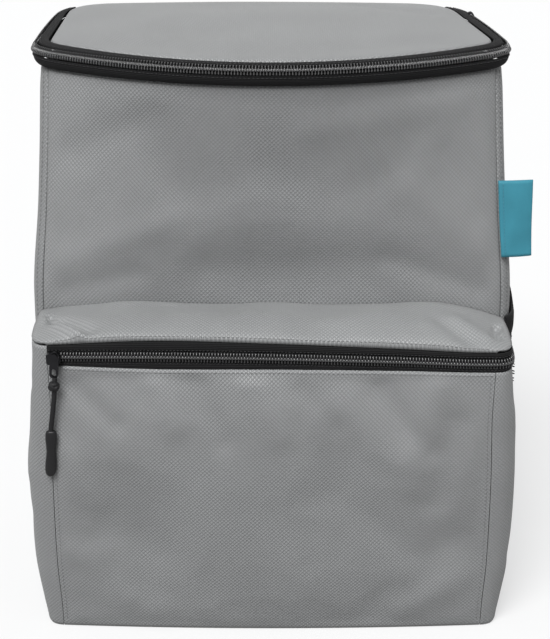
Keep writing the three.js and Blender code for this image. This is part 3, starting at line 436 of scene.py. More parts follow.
def outline_sides(row):
    right = row["back_shift"] + row["back_half"]
    left = row["back_shift"] - row["back_half"]
    corners = [np.array(c) for c in (
        (-row["front_half"] * half_width, row["front_edge"] * half_depth),
        (row["front_half"] * half_width, row["front_edge"] * half_depth),
        (right * half_width, row["back_edge"] * half_depth),
        (left * half_width, row["back_edge"] * half_depth))]
    bows = [row["front_bow"], row["side_bow"], row["back_bow"], row["side_bow"]]
    rounds = [row["front_round"]] * 2 + [row["back_round"]] * 2
    sides = [bowed_side(corners[i], corners[(i + 1) % 4], bows[i] * half_depth) for i in range(4)]
    turns = [round_corner(sides[(i + 3) % 4], sides[i], rounds[i] * half_depth) for i in range(4)]
    outlines = []
    for i in range(4):
        after = (i + 1) % 4
        outlines.append(drawn([
            bezier_part(turns[i][0], corner_seams[i], 1),
            bezier_part(sides[i], turns[i][2], 1 - turns[after][1]),
            bezier_part(turns[after][0], 0, corner_seams[after])]))
    return outlines


# Places and outward directions on a plan line, at shares of its length
def walk(line, shares):
    length = distance_along(line)
    at = np.asarray(shares) * length[-1]
    slope = np.gradient(line, length, axis=0)
    point = np.stack([np.interp(at, length, line[:, k]) for k in (0, 1)], -1)
    along = np.stack([np.interp(at, length, slope[:, k]) for k in (0, 1)], -1)
    along /= np.linalg.norm(along, axis=1, keepdims=True)
    return point, np.stack([along[:, 1], -along[:, 0]], -1), length[-1]


def body_side(side, z):
    return outline_sides(row_at(body_sections, z / body_height))[side]


# Distances along an edge: fine steps in the rolled ends and even steps between
def edge_places(length, step, ends=(True, True)):
    roll = [0, 0.2 * mm, 0.6 * mm, 1.2 * mm, seam_roll]
    start = roll if ends[0] else [0]
    stop = [length - d for d in (roll if ends[1] else [0])][::-1]
    middle = np.linspace(start[-1], stop[0], max(int((stop[0] - start[-1]) / step), 1) + 1)[1:-1]
    return np.concatenate([start, middle, stop])


# How far a rolled edge has turned in, at a distance from it
def roll_depth(distance, roll=None):
    roll = seam_roll if roll is None else roll
    near = np.clip(1 - distance / roll, 0, 1)
    return roll * 0.8 * (1 - np.sqrt(1 - near ** 2))


# A soft fold is a ridge or, with a negative rise, a groove between two places
def fold_height(x, z, folds):
    total = np.zeros_like(x)
    for x0, z0, x1, z1, width, rise in folds:
        run = np.array([x1 - x0, z1 - z0]) * mm
        size = float(run @ run)
        t = ((x - x0 * mm) * run[0] + (z - z0 * mm) * run[1]) / size
        near = np.clip(t, 0, 1)
        off = np.hypot(x - x0 * mm - near * run[0], z - z0 * mm - near * run[1])
        total += rise * mm * np.exp(-(off / (width * mm)) ** 2)
    return total


def slow_ripple(x, z, seed, size, rise):
    generator = np.random.default_rng(seed)
    total = np.zeros_like(x)
    for _ in range(9):
        angle = generator.uniform(0, math.pi)
        wave = generator.uniform(0.7, 1.6) * size
        start = generator.uniform(0, 2 * math.pi)
        total += np.sin((x * math.cos(angle) + z * math.sin(angle)) * 2 * math.pi / wave + start)
    return total / 9 * rise


def cloth_mesh(name, position, across, up):
    rows, columns = position.shape[:2]
    place = np.stack([across, up, np.zeros_like(up)], -1)
    return raw_mesh(name, position, quad_faces(rows, columns), place)


def thicken(piece, thickness, offset=-1):
    shell = piece.modifiers.new("cloth_thickness", "SOLIDIFY")
    shell.thickness = thickness
    shell.offset = offset
    shell.use_even_offset = False


def wall_surface(side, heights, step, relief):
    length = walk(body_side(side, body_height / 2), [0.5])[2]
    shares = (seam_gap / 2 + edge_places(length - seam_gap, step)) / length
    position = np.zeros((len(heights), len(shares), 3))
    across = np.zeros(position.shape[:2])
    outward = np.zeros_like(position)
    for r, z in enumerate(heights):
        point, out, run = walk(body_side(side, z), shares)
        position[r, :, :2], position[r, :, 2] = point, z
        outward[r, :, :2] = out
        across[r] = (shares - 0.5) * run
    up = np.repeat(np.asarray(heights)[:, None], len(shares), 1)
    from_edge = np.minimum(shares, 1 - shares) * length
    near_ends = np.minimum(up - heights[0], heights[-1] - up)
    fade = np.clip(np.minimum(from_edge[None, :], near_ends) / (14 * mm), 0, 1)
    fade = fade * fade * (3 - 2 * fade)
    rolled = up - heights[0] if side == 2 else near_ends
    sink = roll_depth(from_edge)[None, :] + roll_depth(rolled)
    offset = relief(position[..., 0], position[..., 1], up) * fade - sink
    position += outward * offset[..., None]
    return position, across, up, outward


# Short cloth simulation: the places of all points after it has run
def simulated(piece, frames, **settings):
    cloth = piece.modifiers.new("settle", "CLOTH")
    for name, value in settings.items():
        setattr(cloth.settings, name, value)
    cloth.settings.use_pressure = True
    cloth.settings.effector_weights.gravity = 0
    for number in range(1, frames + 1):
        scene.frame_set(number)
    evaluated = piece.evaluated_get(bpy.context.evaluated_depsgraph_get())
    settled = np.array([v.co for v in evaluated.data.vertices])
    piece.modifiers.remove(cloth)
    scene.frame_set(1)
    return settled


def capped(moved, cap):
    size = np.linalg.norm(moved, axis=-1, keepdims=True)
    return moved * np.minimum(1, cap / np.maximum(size, 1e-9))


# Cloth a little larger than its frame, sewn down round its rim, settles into soft folds
def settle_cloth(piece, held, growth, broad, cap):
    rim = piece.vertex_groups.new(name="sewn_rim")
    rim.add([int(i) for i in np.flatnonzero(held.ravel())], 1.0, "ADD")
    start = np.array([v.co for v in piece.data.vertices])
    settled = simulated(piece, 14, quality=4, vertex_group_mass=rim.name, shrink_min=-growth,
                        shrink_max=-growth, tension_stiffness=30, compression_stiffness=30,
                        shear_stiffness=12, bending_stiffness=6, uniform_pressure_force=0.2)
    moved = (settled - start).reshape(*held.shape, 3)
    for _ in range(broad):
        moved[1:-1, 1:-1] = (moved[1:-1, 1:-1] * 2 + moved[:-2, 1:-1] + moved[2:, 1:-1] + moved[1:-1, :-2]
                             + moved[1:-1, 2:]) / 6
        moved[held] = 0
    piece.data.vertices.foreach_set("co", (start + capped(moved, cap).reshape(-1, 3)).ravel())
    piece.data.update()


# Embossed polyester: small raised lozenges between two sets of diagonal grooves. Its shade output is painted
# shade: the colour is darkened in the grooves and lightened on the lozenges.
def build_lozenges():
    group, given, result = new_group(
        "embossed_lozenges",
        [("Place", "NodeSocketVector", None), ("Pitch", "NodeSocketFloat", 0.00255)],
        [("Height", "NodeSocketFloat"), ("Painted Groove Shade", "NodeSocketFloat")])
    split = group.nodes.new("ShaderNodeSeparateXYZ")
    group.links.new(given.outputs["Place"], split.inputs[0])
    turns = calculation(group, "DIVIDE", math.pi, given.outputs["Pitch"])
    plus = calculation(group, "ADD", split.outputs["X"], split.outputs["Y"])
    minus = calculation(group, "SUBTRACT", split.outputs["X"], split.outputs["Y"])
    waves = [calculation(group, "ABSOLUTE", calculation(
        group, "SINE", calculation(group, "MULTIPLY", line, turns))) for line in (plus, minus)]
    pillow = calculation(group, "POWER", calculation(group, "MULTIPLY", *waves), 0.55)
    group.links.new(pillow, result.inputs["Height"])
    # Painted shade: the colour scale runs from 0.8 in the grooves up to 1.1 on top of each lozenge
    group.links.new(calculation(group, "MULTIPLY_ADD", pillow, 0.30, 0.80), result.inputs["Painted Groove Shade"])
    return group


embossed_lozenges = build_lozenges()


# Finish with a raised pattern over it, which is a group with a height and a painted shade that darkens the
# colour in the pattern's grooves
def patterned_material(name, color, roughness, pattern, pitches, depth, **finish):
    material = finish_material(name, color, roughness, place="cloth_place", **finish)
    shader = material.node_tree.nodes["Principled BSDF"]
    place = next(n for n in material.node_tree.nodes if n.bl_idname == "ShaderNodeAttribute")
    relief = add_node(material, "ShaderNodeGroup", node_tree=pattern)
    for label, pitch in pitches.items():
        relief.inputs[label].default_value = pitch
    link(material, place.outputs["Vector"], relief.inputs["Place"])
    # Painted shade: the base colour is scaled by the pattern's groove shade
    shaded = add_node(material, "ShaderNodeVectorMath", operation="SCALE")
    link(material, shader.inputs["Base Color"].links[0].from_socket, shaded.inputs[0])
    link(material, relief.outputs["Painted Groove Shade"], shaded.inputs["Scale"])
    link(material, shaded.outputs[0], shader.inputs["Base Color"])
    bump = add_node(material, "ShaderNodeBump")
    bump.inputs["Distance"].default_value = depth
    link(material, relief.outputs["Height"], bump.inputs["Height"])
    link(material, material.node_tree.nodes["grain_bump"].outputs[0], bump.inputs["Normal"])
    link(material, bump.outputs[0], shader.inputs["Normal"])
    return material


grey_cloth = patterned_material("embossed_grey_cloth", (0.224, 0.229, 0.232), 0.45, embossed_lozenges,
                                {"Pitch": 0.00255}, 0.0003, tone=0.05, patch=0.045, grain=0.0005,
                                grain_depth=0.00006, specular=0.6, sheen=0.10)
grey_cloth.node_tree.nodes["Principled BSDF"].inputs["Sheen Roughness"].default_value = 0.5

front_dents = [(0.00, 0.84, 0.55, 0.09, 0.30), (-0.45, 0.72, 0.30, 0.10, -0.40),
               (0.40, 0.70, 0.35, 0.09, -0.35), (0.05, 0.66, 0.60, 0.05, 0.35)]
front_folds = [(-128, 232, -60, 262, 9, 0.7), (-120, 300, -70, 325, 10, -0.6), (126, 240, 84, 282, 10, 0.8),
               (128, 214, 70, 236, 8, -0.9), (-130, 214, -84, 226, 7, -0.7), (20, 318, 110, 330, 9, 0.5),
               (-40, 232, 50, 236, 12, -0.8), (104, 300, 128, 262, 8, -0.5)]


def front_relief(x, y, z):
    total = np.zeros_like(x)
    for across, height, reach_across, reach_height, depth in front_dents:
        a = (x / half_width - across) / reach_across
        b = (z / body_height - height) / reach_height
        total -= depth * wall_thickness * np.exp(-a * a - b * b)
    return total + 1.5 * fold_height(x, z, front_folds) + slow_ripple(x, z, 11, 120 * mm, 1.5 * mm)


side_folds = [(-50, 60, 30, 110, 12, 0.8), (40, 180, -20, 240, 11, -0.8), (-30, 280, 40, 300, 10, 0.6),
              (10, 30, 60, 60, 9, -0.5)]


def side_relief(x, y, z):
    return fold_height(y, z, side_folds) + slow_ripple(y, z, 23, 110 * mm, 0.9 * mm)


def back_relief(x, y, z):
    return slow_ripple(x, z, 31, 140 * mm, 0.8 * mm)


grey_thread = finish_material("grey_thread", (0.185, 0.187, 0.190), 0.6, grain=0.0004, specular=0.35)
body_stitch = (3.0 * mm, 2.3 * mm, 0.32 * mm)
stitch_profile = [(-0.5, 0.25, -0.5), (-0.36, 0.85, 0.15), (0, 1, 0.45), (0.36, 0.85, 0.15),
                  (0.5, 0.25, -0.5)]


# Row of stitches along a line: each one a short swollen loop of thread, sunk at both ends
def seam_stitches(name, line, outward, pitch, length, radius, material=grey_thread, slot="grey_cloth"):
    run = distance_along(line)
    at = np.arange(pitch / 2, run[-1], pitch)
    along = np.gradient(line, run, axis=0)
    columns = [np.stack([np.interp(at, run, values[:, k]) for k in range(3)], -1)
               for values in (line, along, outward)]
    centre, along, out = columns
    along /= np.linalg.norm(along, axis=1, keepdims=True)
    wide = np.cross(along, out)
    wide /= np.linalg.norm(wide, axis=1, keepdims=True)
    sides = 6
    points, faces = [], []
    for i in range(len(at)):
        first = len(points)
        for share, swell, lift in stitch_profile:
            for k in range(sides):
                a = 2 * math.pi * k / sides
                points.append(centre[i] + along[i] * share * length + wide[i] * math.cos(a) * swell * radius
                              + out[i] * (math.sin(a) * swell + lift) * radius)
        faces += tube_faces(first, len(stitch_profile), sides)
    return add_piece(name, raw_mesh(name, points, faces), material, slot)


wall_bottom = base_thickness + seam_gap
wall_top = body_height - seam_gap
wall_heights = wall_bottom + edge_places(wall_top - wall_bottom, 2.2 * mm)
back_heights = wall_bottom + edge_places(lid_height - wall_thickness - seam_gap - wall_bottom, 2.2 * mm)
panels = [("front_panel", 0, wall_heights, front_relief), ("right_side_panel", 1, wall_heights, side_relief),
          ("back_panel", 2, back_heights, back_relief), ("left_side_panel", 3, wall_heights, side_relief)]
for node, side, heights, relief in panels:
    position, across, up, outward = wall_surface(side, heights, 2.2 * mm, relief)
    panel = add_piece(node + "_cloth", cloth_mesh(node + "_cloth", position, across, up), grey_cloth,
                      "grey_cloth", node)
    if side == 0:
        inside = np.zeros(position.shape[:2], bool)
        inside[8:-8, 8:-8] = True
        settle_cloth(panel, ~inside, 0.0015, 24, 0.8 * mm)
    thicken(panel, wall_thickness)
    for edge_name, column in (("start", 5), ("end", -6)):
        if side != 0:
            seam_stitches(f"{node}_{edge_name}_stitches", position[4:-4, column], outward[4:-4, column],
                          *body_stitch)


def base_mesh():
    rings, steps = [], 5
    for i in range(steps + 1):
        turn = i / steps * math.pi / 2
        z = base_thickness * (1 - math.cos(turn))
        inset = base_edge_round * (1 - math.sin(turn))
        ring = []
        for side in range(4):
            count = 90 if side in (0, 2) else 60
            point, out, _ = walk(body_side(side, z), np.arange(count) / count)
            ring += [(*p, z) for p in point - out * inset]
        rings.append(ring)
    mesh = ring_tube("base_panel_cloth", rings)
    set_place(mesh, [v.co for v in mesh.vertices])
    return mesh


base_panel = add_piece("base_panel_cloth", base_mesh(), grey_cloth, "grey_cloth", "base_panel")


# Lid: a padded panel of the same cloth with a soft dome, which runs over the back as its
# own hinge. Its edge is turned under and sewn to the zip's upper tape.
lid_section = dict(front_half=0.901, front_edge=-0.35, front_bow=0.588, side_bow=0.000, front_round=0.12,
                   back_shift=-0.056, back_half=0.836, back_edge=0.905, back_bow=0.083, back_round=0.34)
lid_dome = 4 * mm
rest_gap = 0.4 * mm
lid_sides = outline_sides(lid_section)


# Four-sided patch between lines that meet at their ends, at every pair of u and v
def patch_points(back, front, left, right, u, v):
    u, v = u[None, :, None], v[:, None, None]
    blend = (back[None] * (1 - v) + front[None] * v + left[:, None] * (1 - u) + right[:, None] * u)
    return (blend - back[0] * (1 - u) * (1 - v) - back[-1] * u * (1 - v)
            - front[0] * (1 - u) * v - front[-1] * u * v)


def at_height(line, out, z, offset):
    return np.column_stack([line + out * offset, np.full(len(line), z)])


def lid_mesh():
    u = edge_places(1, 0.009, ends=(False, False))
    v = edge_places(1, 0.014, ends=(False, False))
    sides = []
    for side, shares in ((2, 1 - u), (0, u), (3, v), (1, 1 - v)):
        point, out, _ = walk(lid_sides[side], shares)
        sides.append(at_height(point, out, lid_height, -rest_gap))
    position = patch_points(*sides, u, v)
    span_u, span_v = 2 * half_width * 0.87, 2 * half_depth * 0.9
    dome = (np.sin(np.pi * u)[None, :] * np.sin(np.pi * v)[:, None]).clip(0) ** 0.6
    from_edge = np.minimum(np.minimum(u, 1 - u)[None, :] * span_u, np.minimum(v, 1 - v)[:, None] * span_v)
    from_zip = np.minimum(np.minimum(u, 1 - u)[None, :] * span_u, (1 - v)[:, None] * span_v)
    calm = np.clip(from_edge / (12 * mm), 0, 1)
    x, y = position[..., 0], position[..., 1]
    folds = [(-90, -38, -20, -60, 12, -0.9), (20, -58, 96, -34, 12, -0.8), (-60, 20, 50, 34, 22, 0.9),
             (60, 62, 100, 40, 9, -0.6)]
    position[..., 2] += (lid_dome * dome - roll_depth(from_zip, 3 * mm)
                         + calm * (1.6 * fold_height(x, y, folds) + slow_ripple(x, y, 5, 90 * mm, 1.4 * mm)))
    return cloth_mesh("lid_panel_cloth", position, x, y)


lid_panel = add_piece("lid_panel_cloth", lid_mesh(), grey_cloth, "grey_cloth", "lid_panel")
thicken(lid_panel, wall_thickness, 1)


# Zip between lid and box, round three sides: a ribbed woven tape, a moulded coil and a second
# tape, bulging over the box's edge. The coil is two rows of plastic loops that lock together.
band_height, band_overhang, band_end = 12.7 * mm, 5.5 * mm, 0.04
band_swell, band_turn = 0.1, 1.05
band_belly, belly_fullness = 5 * mm, 0.7
coil_low, coil_high = 0.5, 0.78
tape_thickness, coil_raise = 1.2 * mm, 0.8 * mm
tooth_pitch = 1.83 * mm


def band_stations(count_side, count_front):
    stations = []
    for side, start, end, count in ((3, band_end, 1, count_side), (0, 0, 1, count_front),
                                    (1, 0, 1 - band_end, count_side)):
        shares = np.linspace(start, end, count + 1)
        stations.append((side, shares if side == 1 else shares[:-1]))
    return stations


# Control points of the band's curved section, and its direction along the box's edge
def band_controls(low, high, out, belly):
    controls = [at_height(low, out, body_height, 0),
                at_height(low, out, body_height + band_height * band_swell, band_overhang),
                at_height(low, out, body_height + band_height * band_turn, band_overhang + belly),
                at_height(high, out, lid_height, 0)]
    return controls, np.column_stack([-out[:, 1], out[:, 0], np.zeros(len(out))])


def band_frames(stations):
    lows, highs, outs, bellies = [], [], [], []
    for side, shares in stations:
        low, out, _ = walk(body_side(side, body_height), shares)
        lows.append(low)
        highs.append(walk(lid_sides[side], shares)[0])
        outs.append(out)
        swell = np.sin(np.pi * shares).clip(0) ** belly_fullness
        bellies.append(0 * shares if side == 0 else band_belly * swell)
    return band_controls(np.vstack(lows), np.vstack(highs), np.vstack(outs), np.concatenate(bellies)[:, None])


def band_points(frames, climb, lift):
    (c0, c1, c2, c3), along = frames
    t = climb
    point = ((1 - t) ** 3 * c0 + 3 * t * (1 - t) ** 2 * c1 + 3 * t * t * (1 - t) * c2 + t ** 3 * c3)
    slope = 3 * ((1 - t) ** 2 * (c1 - c0) + 2 * t * (1 - t) * (c2 - c1) + t * t * (c3 - c2))
    normal = np.cross(along, slope)
    normal /= np.linalg.norm(normal, axis=1, keepdims=True)
    return point + normal * lift, normal, slope


# Woven ribs of tapes, webbing and satin: a height for the bump and a painted shade that darkens the colour
# between the ribs
def build_ribs():
    group, given, result = new_group(
        "woven_ribs",
        [("Place", "NodeSocketVector", None), ("Rib Pitch", "NodeSocketFloat", 0.0009),
         ("Pick Pitch", "NodeSocketFloat", 0.0006)],
        [("Height", "NodeSocketFloat"), ("Painted Groove Shade", "NodeSocketFloat")])
    split = group.nodes.new("ShaderNodeSeparateXYZ")
    group.links.new(given.outputs["Place"], split.inputs[0])
    waves = []
    for axis, pitch in (("Y", "Rib Pitch"), ("X", "Pick Pitch")):
        turns = calculation(group, "DIVIDE", math.pi, given.outputs[pitch])
        waves.append(calculation(group, "ABSOLUTE", calculation(
            group, "SINE", calculation(group, "MULTIPLY", split.outputs[axis], turns))))
    height = calculation(group, "MULTIPLY_ADD", waves[1], 0.35, waves[0])
    group.links.new(height, result.inputs["Height"])
    # Painted shade: the colour is darker between the ribs and picks and lighter on their tops, from 0.6 up to
    # about 1.28
    group.links.new(calculation(group, "MULTIPLY_ADD", height, 0.5, 0.6), result.inputs["Painted Groove Shade"])
    return group


woven_ribs = build_ribs()


def webbing_material(name, color, rib, pick, depth, roughness=0.7):
    return patterned_material(name, color, roughness, woven_ribs, {"Rib Pitch": rib, "Pick Pitch": pick},
                              depth, tone=0.10, patch=0.02, grain=0.0004, grain_depth=0.00004,
                              specular=0.14, sheen=0.02)


black_tape = webbing_material("black_zip_tape", (0.009, 0.009, 0.0095), 0.0011, 0.0007, 0.00022)
coil_plastic = finish_material("black_coil_plastic", (0.010, 0.010, 0.011), 0.22, tone=0.1, grain=0.0005,
                               grain_depth=0.00001, specular=0.8)
# Painted highlight: the crowns of the loops are painted lighter, by up to 0.15 on the side that faces out, in
# place of the glints of light on the teeth.
crown_glint_amount = add_node(coil_plastic, "ShaderNodeAttribute", attribute_name="crown")
painted_crown_glint = add_node(coil_plastic, "ShaderNodeVectorMath", operation="SCALE")
painted_crown_glint.inputs[0].default_value = (0.15, 0.15, 0.15)
link(coil_plastic, crown_glint_amount.outputs["Fac"], painted_crown_glint.inputs["Scale"])
coil_shader = coil_plastic.node_tree.nodes["Principled BSDF"]
lighter = add_node(coil_plastic, "ShaderNodeVectorMath", operation="ADD")
link(coil_plastic, coil_shader.inputs["Base Color"].links[0].from_socket, lighter.inputs[0])
link(coil_plastic, painted_crown_glint.outputs[0], lighter.inputs[1])
link(coil_plastic, lighter.outputs[0], coil_shader.inputs["Base Color"])
black_thread = finish_material("black_thread", (0.016, 0.016, 0.017), 0.55, grain=0.0004, specular=0.4)


# How far a tape's surface sinks towards its two edges, at shares of its width
def edge_roll(shares, width, depth):
    near = 1 - np.minimum(np.minimum(shares, 1 - shares) / width, 1)
    return depth * (1 - np.sqrt(np.clip(1 - near ** 2, 0, 1)))


# Strip of tape between two climbs of the band, with a soft roll at both of its edges
def band_tape(name, node, start, end, raise_by, swell):
    stations = band_stations(70, 150)
    frames = band_frames(stations)
    run = distance_along(frames[0][0])
    shares = np.concatenate([[0, 0.04, 0.12], np.linspace(0.2, 0.8, 7), [0.88, 0.96, 1]])
    rows, ups = [], []
    for share, sink in zip(shares, edge_roll(shares, 0.2, 0.5 * mm)):
        rows.append(band_points(frames, start + share * (end - start),
                                raise_by - sink + swell * math.sin(math.pi * share))[0])
        ups.append(np.full(len(run), share * (end - start) * band_height * 1.6))
    up = np.array(ups)
    position = np.array(rows)
    tape = add_piece(name, cloth_mesh(name, position, np.repeat(run[None], len(up), 0), up),
                     black_tape, "black_tape", node)
    thicken(tape, tape_thickness)


climb_gap = 0.015
band_tape("lid_zip_lower_tape", "top_zip_tape_lower", 0, coil_low - climb_gap, 0, 0.35 * mm)
band_tape("lid_zip_upper_tape", "top_zip_tape_upper", coil_high + climb_gap, 1, 0, 0.3 * mm)


# Loops of a coil zip along a line: centre, direction across towards the far tape, and out.
# Each loop lies across the middle, and loops from the two sides alternate at half a pitch.
# Per point of a loop: distance across, height, radius and how much painted highlight its crown carries.
loop_profile = [(3.0, -0.5, 0.38, 0.0), (2.75, 0.55, 0.44, 1.0), (2.3, 0.95, 0.42, 0.6),
                (0.9, 1.05, 0.38, 0.0), (0.1, 1.15, 0.44, 0.5), (-0.55, 1.0, 0.55, 1.0),
                (-0.9, 0.35, 0.42, 0.1), (-0.95, -0.3, 0.3, 0.0)]


def coil_loops(name, node, centre, across, out, wide=1.0):
    run = distance_along(centre)
    at = np.arange(tooth_pitch / 4, run[-1] - tooth_pitch / 4, tooth_pitch / 2)
    columns = [np.stack([np.interp(at, run, values[:, k]) for k in range(3)], -1)
               for values in (centre, across, out)]
    middle, side, up = columns
    side /= np.linalg.norm(side, axis=1, keepdims=True)
    up /= np.linalg.norm(up, axis=1, keepdims=True)
    ahead = np.cross(side, up)
    sides = 6
    points, faces, crowns = [], [], []
    for i in range(len(at)):
        hand = 1 if i % 2 else -1
        first = len(points)
        for w, h, radius, crown in loop_profile:
            spot = middle[i] + side[i] * hand * w * wide * mm + up[i] * h * mm
            for k in range(sides):
                a = 2 * math.pi * k / sides * hand
                points.append(spot + ahead[i] * math.cos(a) * radius * mm * 0.95
                              + up[i] * math.sin(a) * radius * mm)
                # Painted highlight on the crown, strongest on the side that faces out
                crowns.append(crown * max(0.0, math.sin(a)))
        faces += [face[:1] + face[:0:-1] for face in tube_faces(first, len(loop_profile), sides)]
    mesh = raw_mesh(name, points, faces)
    crown_glint_layer = mesh.attributes.new("crown", "FLOAT", "POINT")
    crown_glint_layer.data.foreach_set("value", np.array(crowns, dtype=np.float32))
    return add_piece(name, mesh, coil_plastic, "zip_coil", node)


def line_frames(frames, climb, lift):
    point, normal, slope = band_points(frames, climb, lift)
    return point, slope, normal


fine_frames = band_frames(band_stations(90, 240))
coil_middle = (coil_low + coil_high) / 2
coil_loops("lid_zip_coil", "top_zip_coil", *line_frames(fine_frames, coil_middle, 0.1 * mm))
band_tape("lid_zip_core", "top_zip_coil", coil_low + climb_gap / 2, coil_high - climb_gap / 2, -0.3 * mm, 0.0)
for name, climb in (("lid_zip_lower_sewing", 0.42), ("lid_zip_upper_sewing", 0.84)):
    line, _, out = line_frames(fine_frames, climb, 0.25 * mm)
    seam_stitches(name, line, out, 2.6 * mm, 2.0 * mm, 0.3 * mm, black_thread, "black_tape")


# Slider of the lid's zip: a small blackened zinc casting, closed and parked at the back of
# the right side. It is drawn as one pear-shaped body that wraps the coil.
dark_metal = finish_material("blackened_metal", (0.035, 0.035, 0.038), 0.24, tone=0.2, grain=0.0007,
                             grain_depth=0.00002, specular=0.6, metallic=0.9)


# Pear-shaped plate whose edges are rounded, wrapped close round the coil, its middle a little raised
def slider_mesh(origin, along, across, out):
    length, width, thickness = 9.4 * mm, 8.0 * mm, 2.3 * mm
    rings = []
    for inset, lift in ((1.0, -0.6), (1.0, 0.5), (0.93, 0.85), (0.80, 1.0), (0.30, 1.06)):
        ring = []
        for k in range(40):
            a = 2 * math.pi * k / 40
            nose = 0.72 + 0.28 * math.cos(a)
            ring.append(origin + along * math.cos(a) * length / 2 * inset
                        + across * math.sin(a) * width / 2 * inset * (0.55 + 0.45 * (1 - nose) + 0.2)
                        + out * thickness * lift)
        rings.append(ring)
    return ring_tube("lid_zip_slider", rings)


seat_share = 0.8
seat_point, seat_out, _ = walk(body_side(1, body_height), [seat_share])
seat_high, _, _ = walk(lid_sides[1], [seat_share])
seat_belly = band_belly * math.sin(math.pi * seat_share) ** belly_fullness
seat_frames = band_controls(seat_point, seat_high, seat_out, seat_belly)
seat_centre, seat_normal, _ = band_points(seat_frames, coil_middle, 0.4 * mm)
seat_along = seat_frames[1][0]
seat_across = np.cross(seat_normal[0], seat_along)
lid_slider_mesh = slider_mesh(seat_centre[0], seat_along, seat_across, seat_normal[0])
add_piece("lid_zip_slider", lid_slider_mesh, dark_metal, "dark_metal", "top_zip_slider")


# Front pocket: a single layer of the same cloth, bagged out from the box. Two gussets, a front
# panel and a puffed top, with a coil zip along the top that runs round the right corner.
pocket_height, pocket_depth = 201.5 * mm, 45 * mm
pocket_top_rise, pocket_puff = 6 * mm, 5 * mm
pocket_cloth = 1.8 * mm
zip_coil_width, coil_place = 6.2 * mm, 0.45
gusset_seat = pocket_cloth * 0.6
pocket_foot = 0.2 * mm
pocket_patch = (290 * mm, 52 * mm)
hem_stitch = (2.7 * mm, 2.1 * mm, 0.3 * mm)

pocket_sections = [
    dict(height=0.00, half=0.966, out=1.01, bow=0.10, side_bow=0.00, round=0.26),
    dict(height=0.03, half=0.972, out=1.02, bow=0.11, side_bow=0.01, round=0.28),
    dict(height=0.10, half=0.984, out=1.04, bow=0.12, side_bow=0.04, round=0.32),
    dict(height=0.25, half=1.002, out=1.07, bow=0.13, side_bow=0.07, round=0.36),
    dict(height=0.55, half=0.996, out=1.09, bow=0.14, side_bow=0.07, round=0.36),
    dict(height=0.75, half=0.974, out=1.06, bow=0.14, side_bow=0.05, round=0.32),
    dict(height=0.92, half=0.950, out=0.98, bow=0.13, side_bow=0.03, round=0.22),
    dict(height=1.00, half=0.946, out=0.94, bow=0.12, side_bow=0.03, round=0.21),
]
zip_line = [
    dict(height=0.00, lower=0.925, upper=0.984),
    dict(height=0.20, lower=0.921, upper=1.005),
    dict(height=0.42, lower=0.923, upper=0.998),
    dict(height=0.65, lower=0.915, upper=0.979),
    dict(height=0.81, lower=0.903, upper=0.961),
    dict(height=1.00, lower=0.895, upper=0.958),
]
body_front = walk(body_side(0, pocket_height), [0.5])[0][0][1]


def pocket_stretches(z):
    row = row_at(pocket_sections, z / pocket_height)
    front = body_front - row["out"] * pocket_depth
    point, out, _ = walk(body_side(0, z), [0, 1])
    seats = point + out * (rest_gap + gusset_seat)
    corners = [seats[0], np.array([-row["half"] * half_width, front]),
               np.array([row["half"] * half_width, front]), seats[1]]
    left = bowed_side(corners[0], corners[1], row["side_bow"] * pocket_depth)
    middle = bowed_side(corners[1], corners[2], row["bow"] * pocket_depth)
    right = bowed_side(corners[2], corners[3], row["side_bow"] * pocket_depth)
    left_turn, left_cut, middle_start = round_corner(left, middle, row["round"] * pocket_depth)
    right_turn, middle_cut, right_start = round_corner(middle, right, row["round"] * pocket_depth)
    return [drawn([bezier_part(left, 0, 1 - left_cut), left_turn]),
            drawn([bezier_part(middle, middle_start, 1 - middle_cut)]),
            drawn([right_turn, bezier_part(right, right_start, 1)])]


def wall_lookup(line_at, low, high, levels=60, count=241):
    heights = np.linspace(low, high, levels)
    shares = np.linspace(0, 1, count)
    table = np.array([np.hstack(walk(line_at(z), shares)[:2]) for z in heights])

    def look(share, z, offset=0.0):
        share, z = np.broadcast_arrays(np.asarray(share, float), np.asarray(z, float))
        r = np.clip((z - low) / (high - low), 0, 1) * (levels - 1)
        c = np.clip(share, 0, 1) * (count - 1)
        r0 = np.minimum(r.astype(int), levels - 2)
        c0 = np.minimum(c.astype(int), count - 2)
        fr, fc = (r - r0)[..., None], (c - c0)[..., None]
        found = ((1 - fr) * ((1 - fc) * table[r0, c0] + fc * table[r0, c0 + 1])
                 + fr * ((1 - fc) * table[r0 + 1, c0] + fc * table[r0 + 1, c0 + 1]))
        out = found[..., 2:] / np.linalg.norm(found[..., 2:], axis=-1, keepdims=True)
        flat = found[..., :2] + out * np.asarray(offset)[..., None]
        return (np.concatenate([flat, z[..., None]], -1),
                np.concatenate([out, np.zeros_like(z)[..., None]], -1))
    return look


pocket_look = [wall_lookup(lambda z, k=k: pocket_stretches(z)[k], 0, pocket_height * 1.02)
               for k in range(3)]
top_lines = pocket_stretches(pocket_height)
stretch_lengths = [walk(line, [0.5])[2] for line in top_lines]
zip_front_share = stretch_lengths[1] / (stretch_lengths[1] + stretch_lengths[2])


def zip_edge(stretch, shares, key):
    along = (np.asarray(shares) * zip_front_share if stretch == 1
             else zip_front_share + np.asarray(shares) * (1 - zip_front_share))
    return np.array([row_at(zip_line, s)[key] for s in np.atleast_1d(along)]) * pocket_height


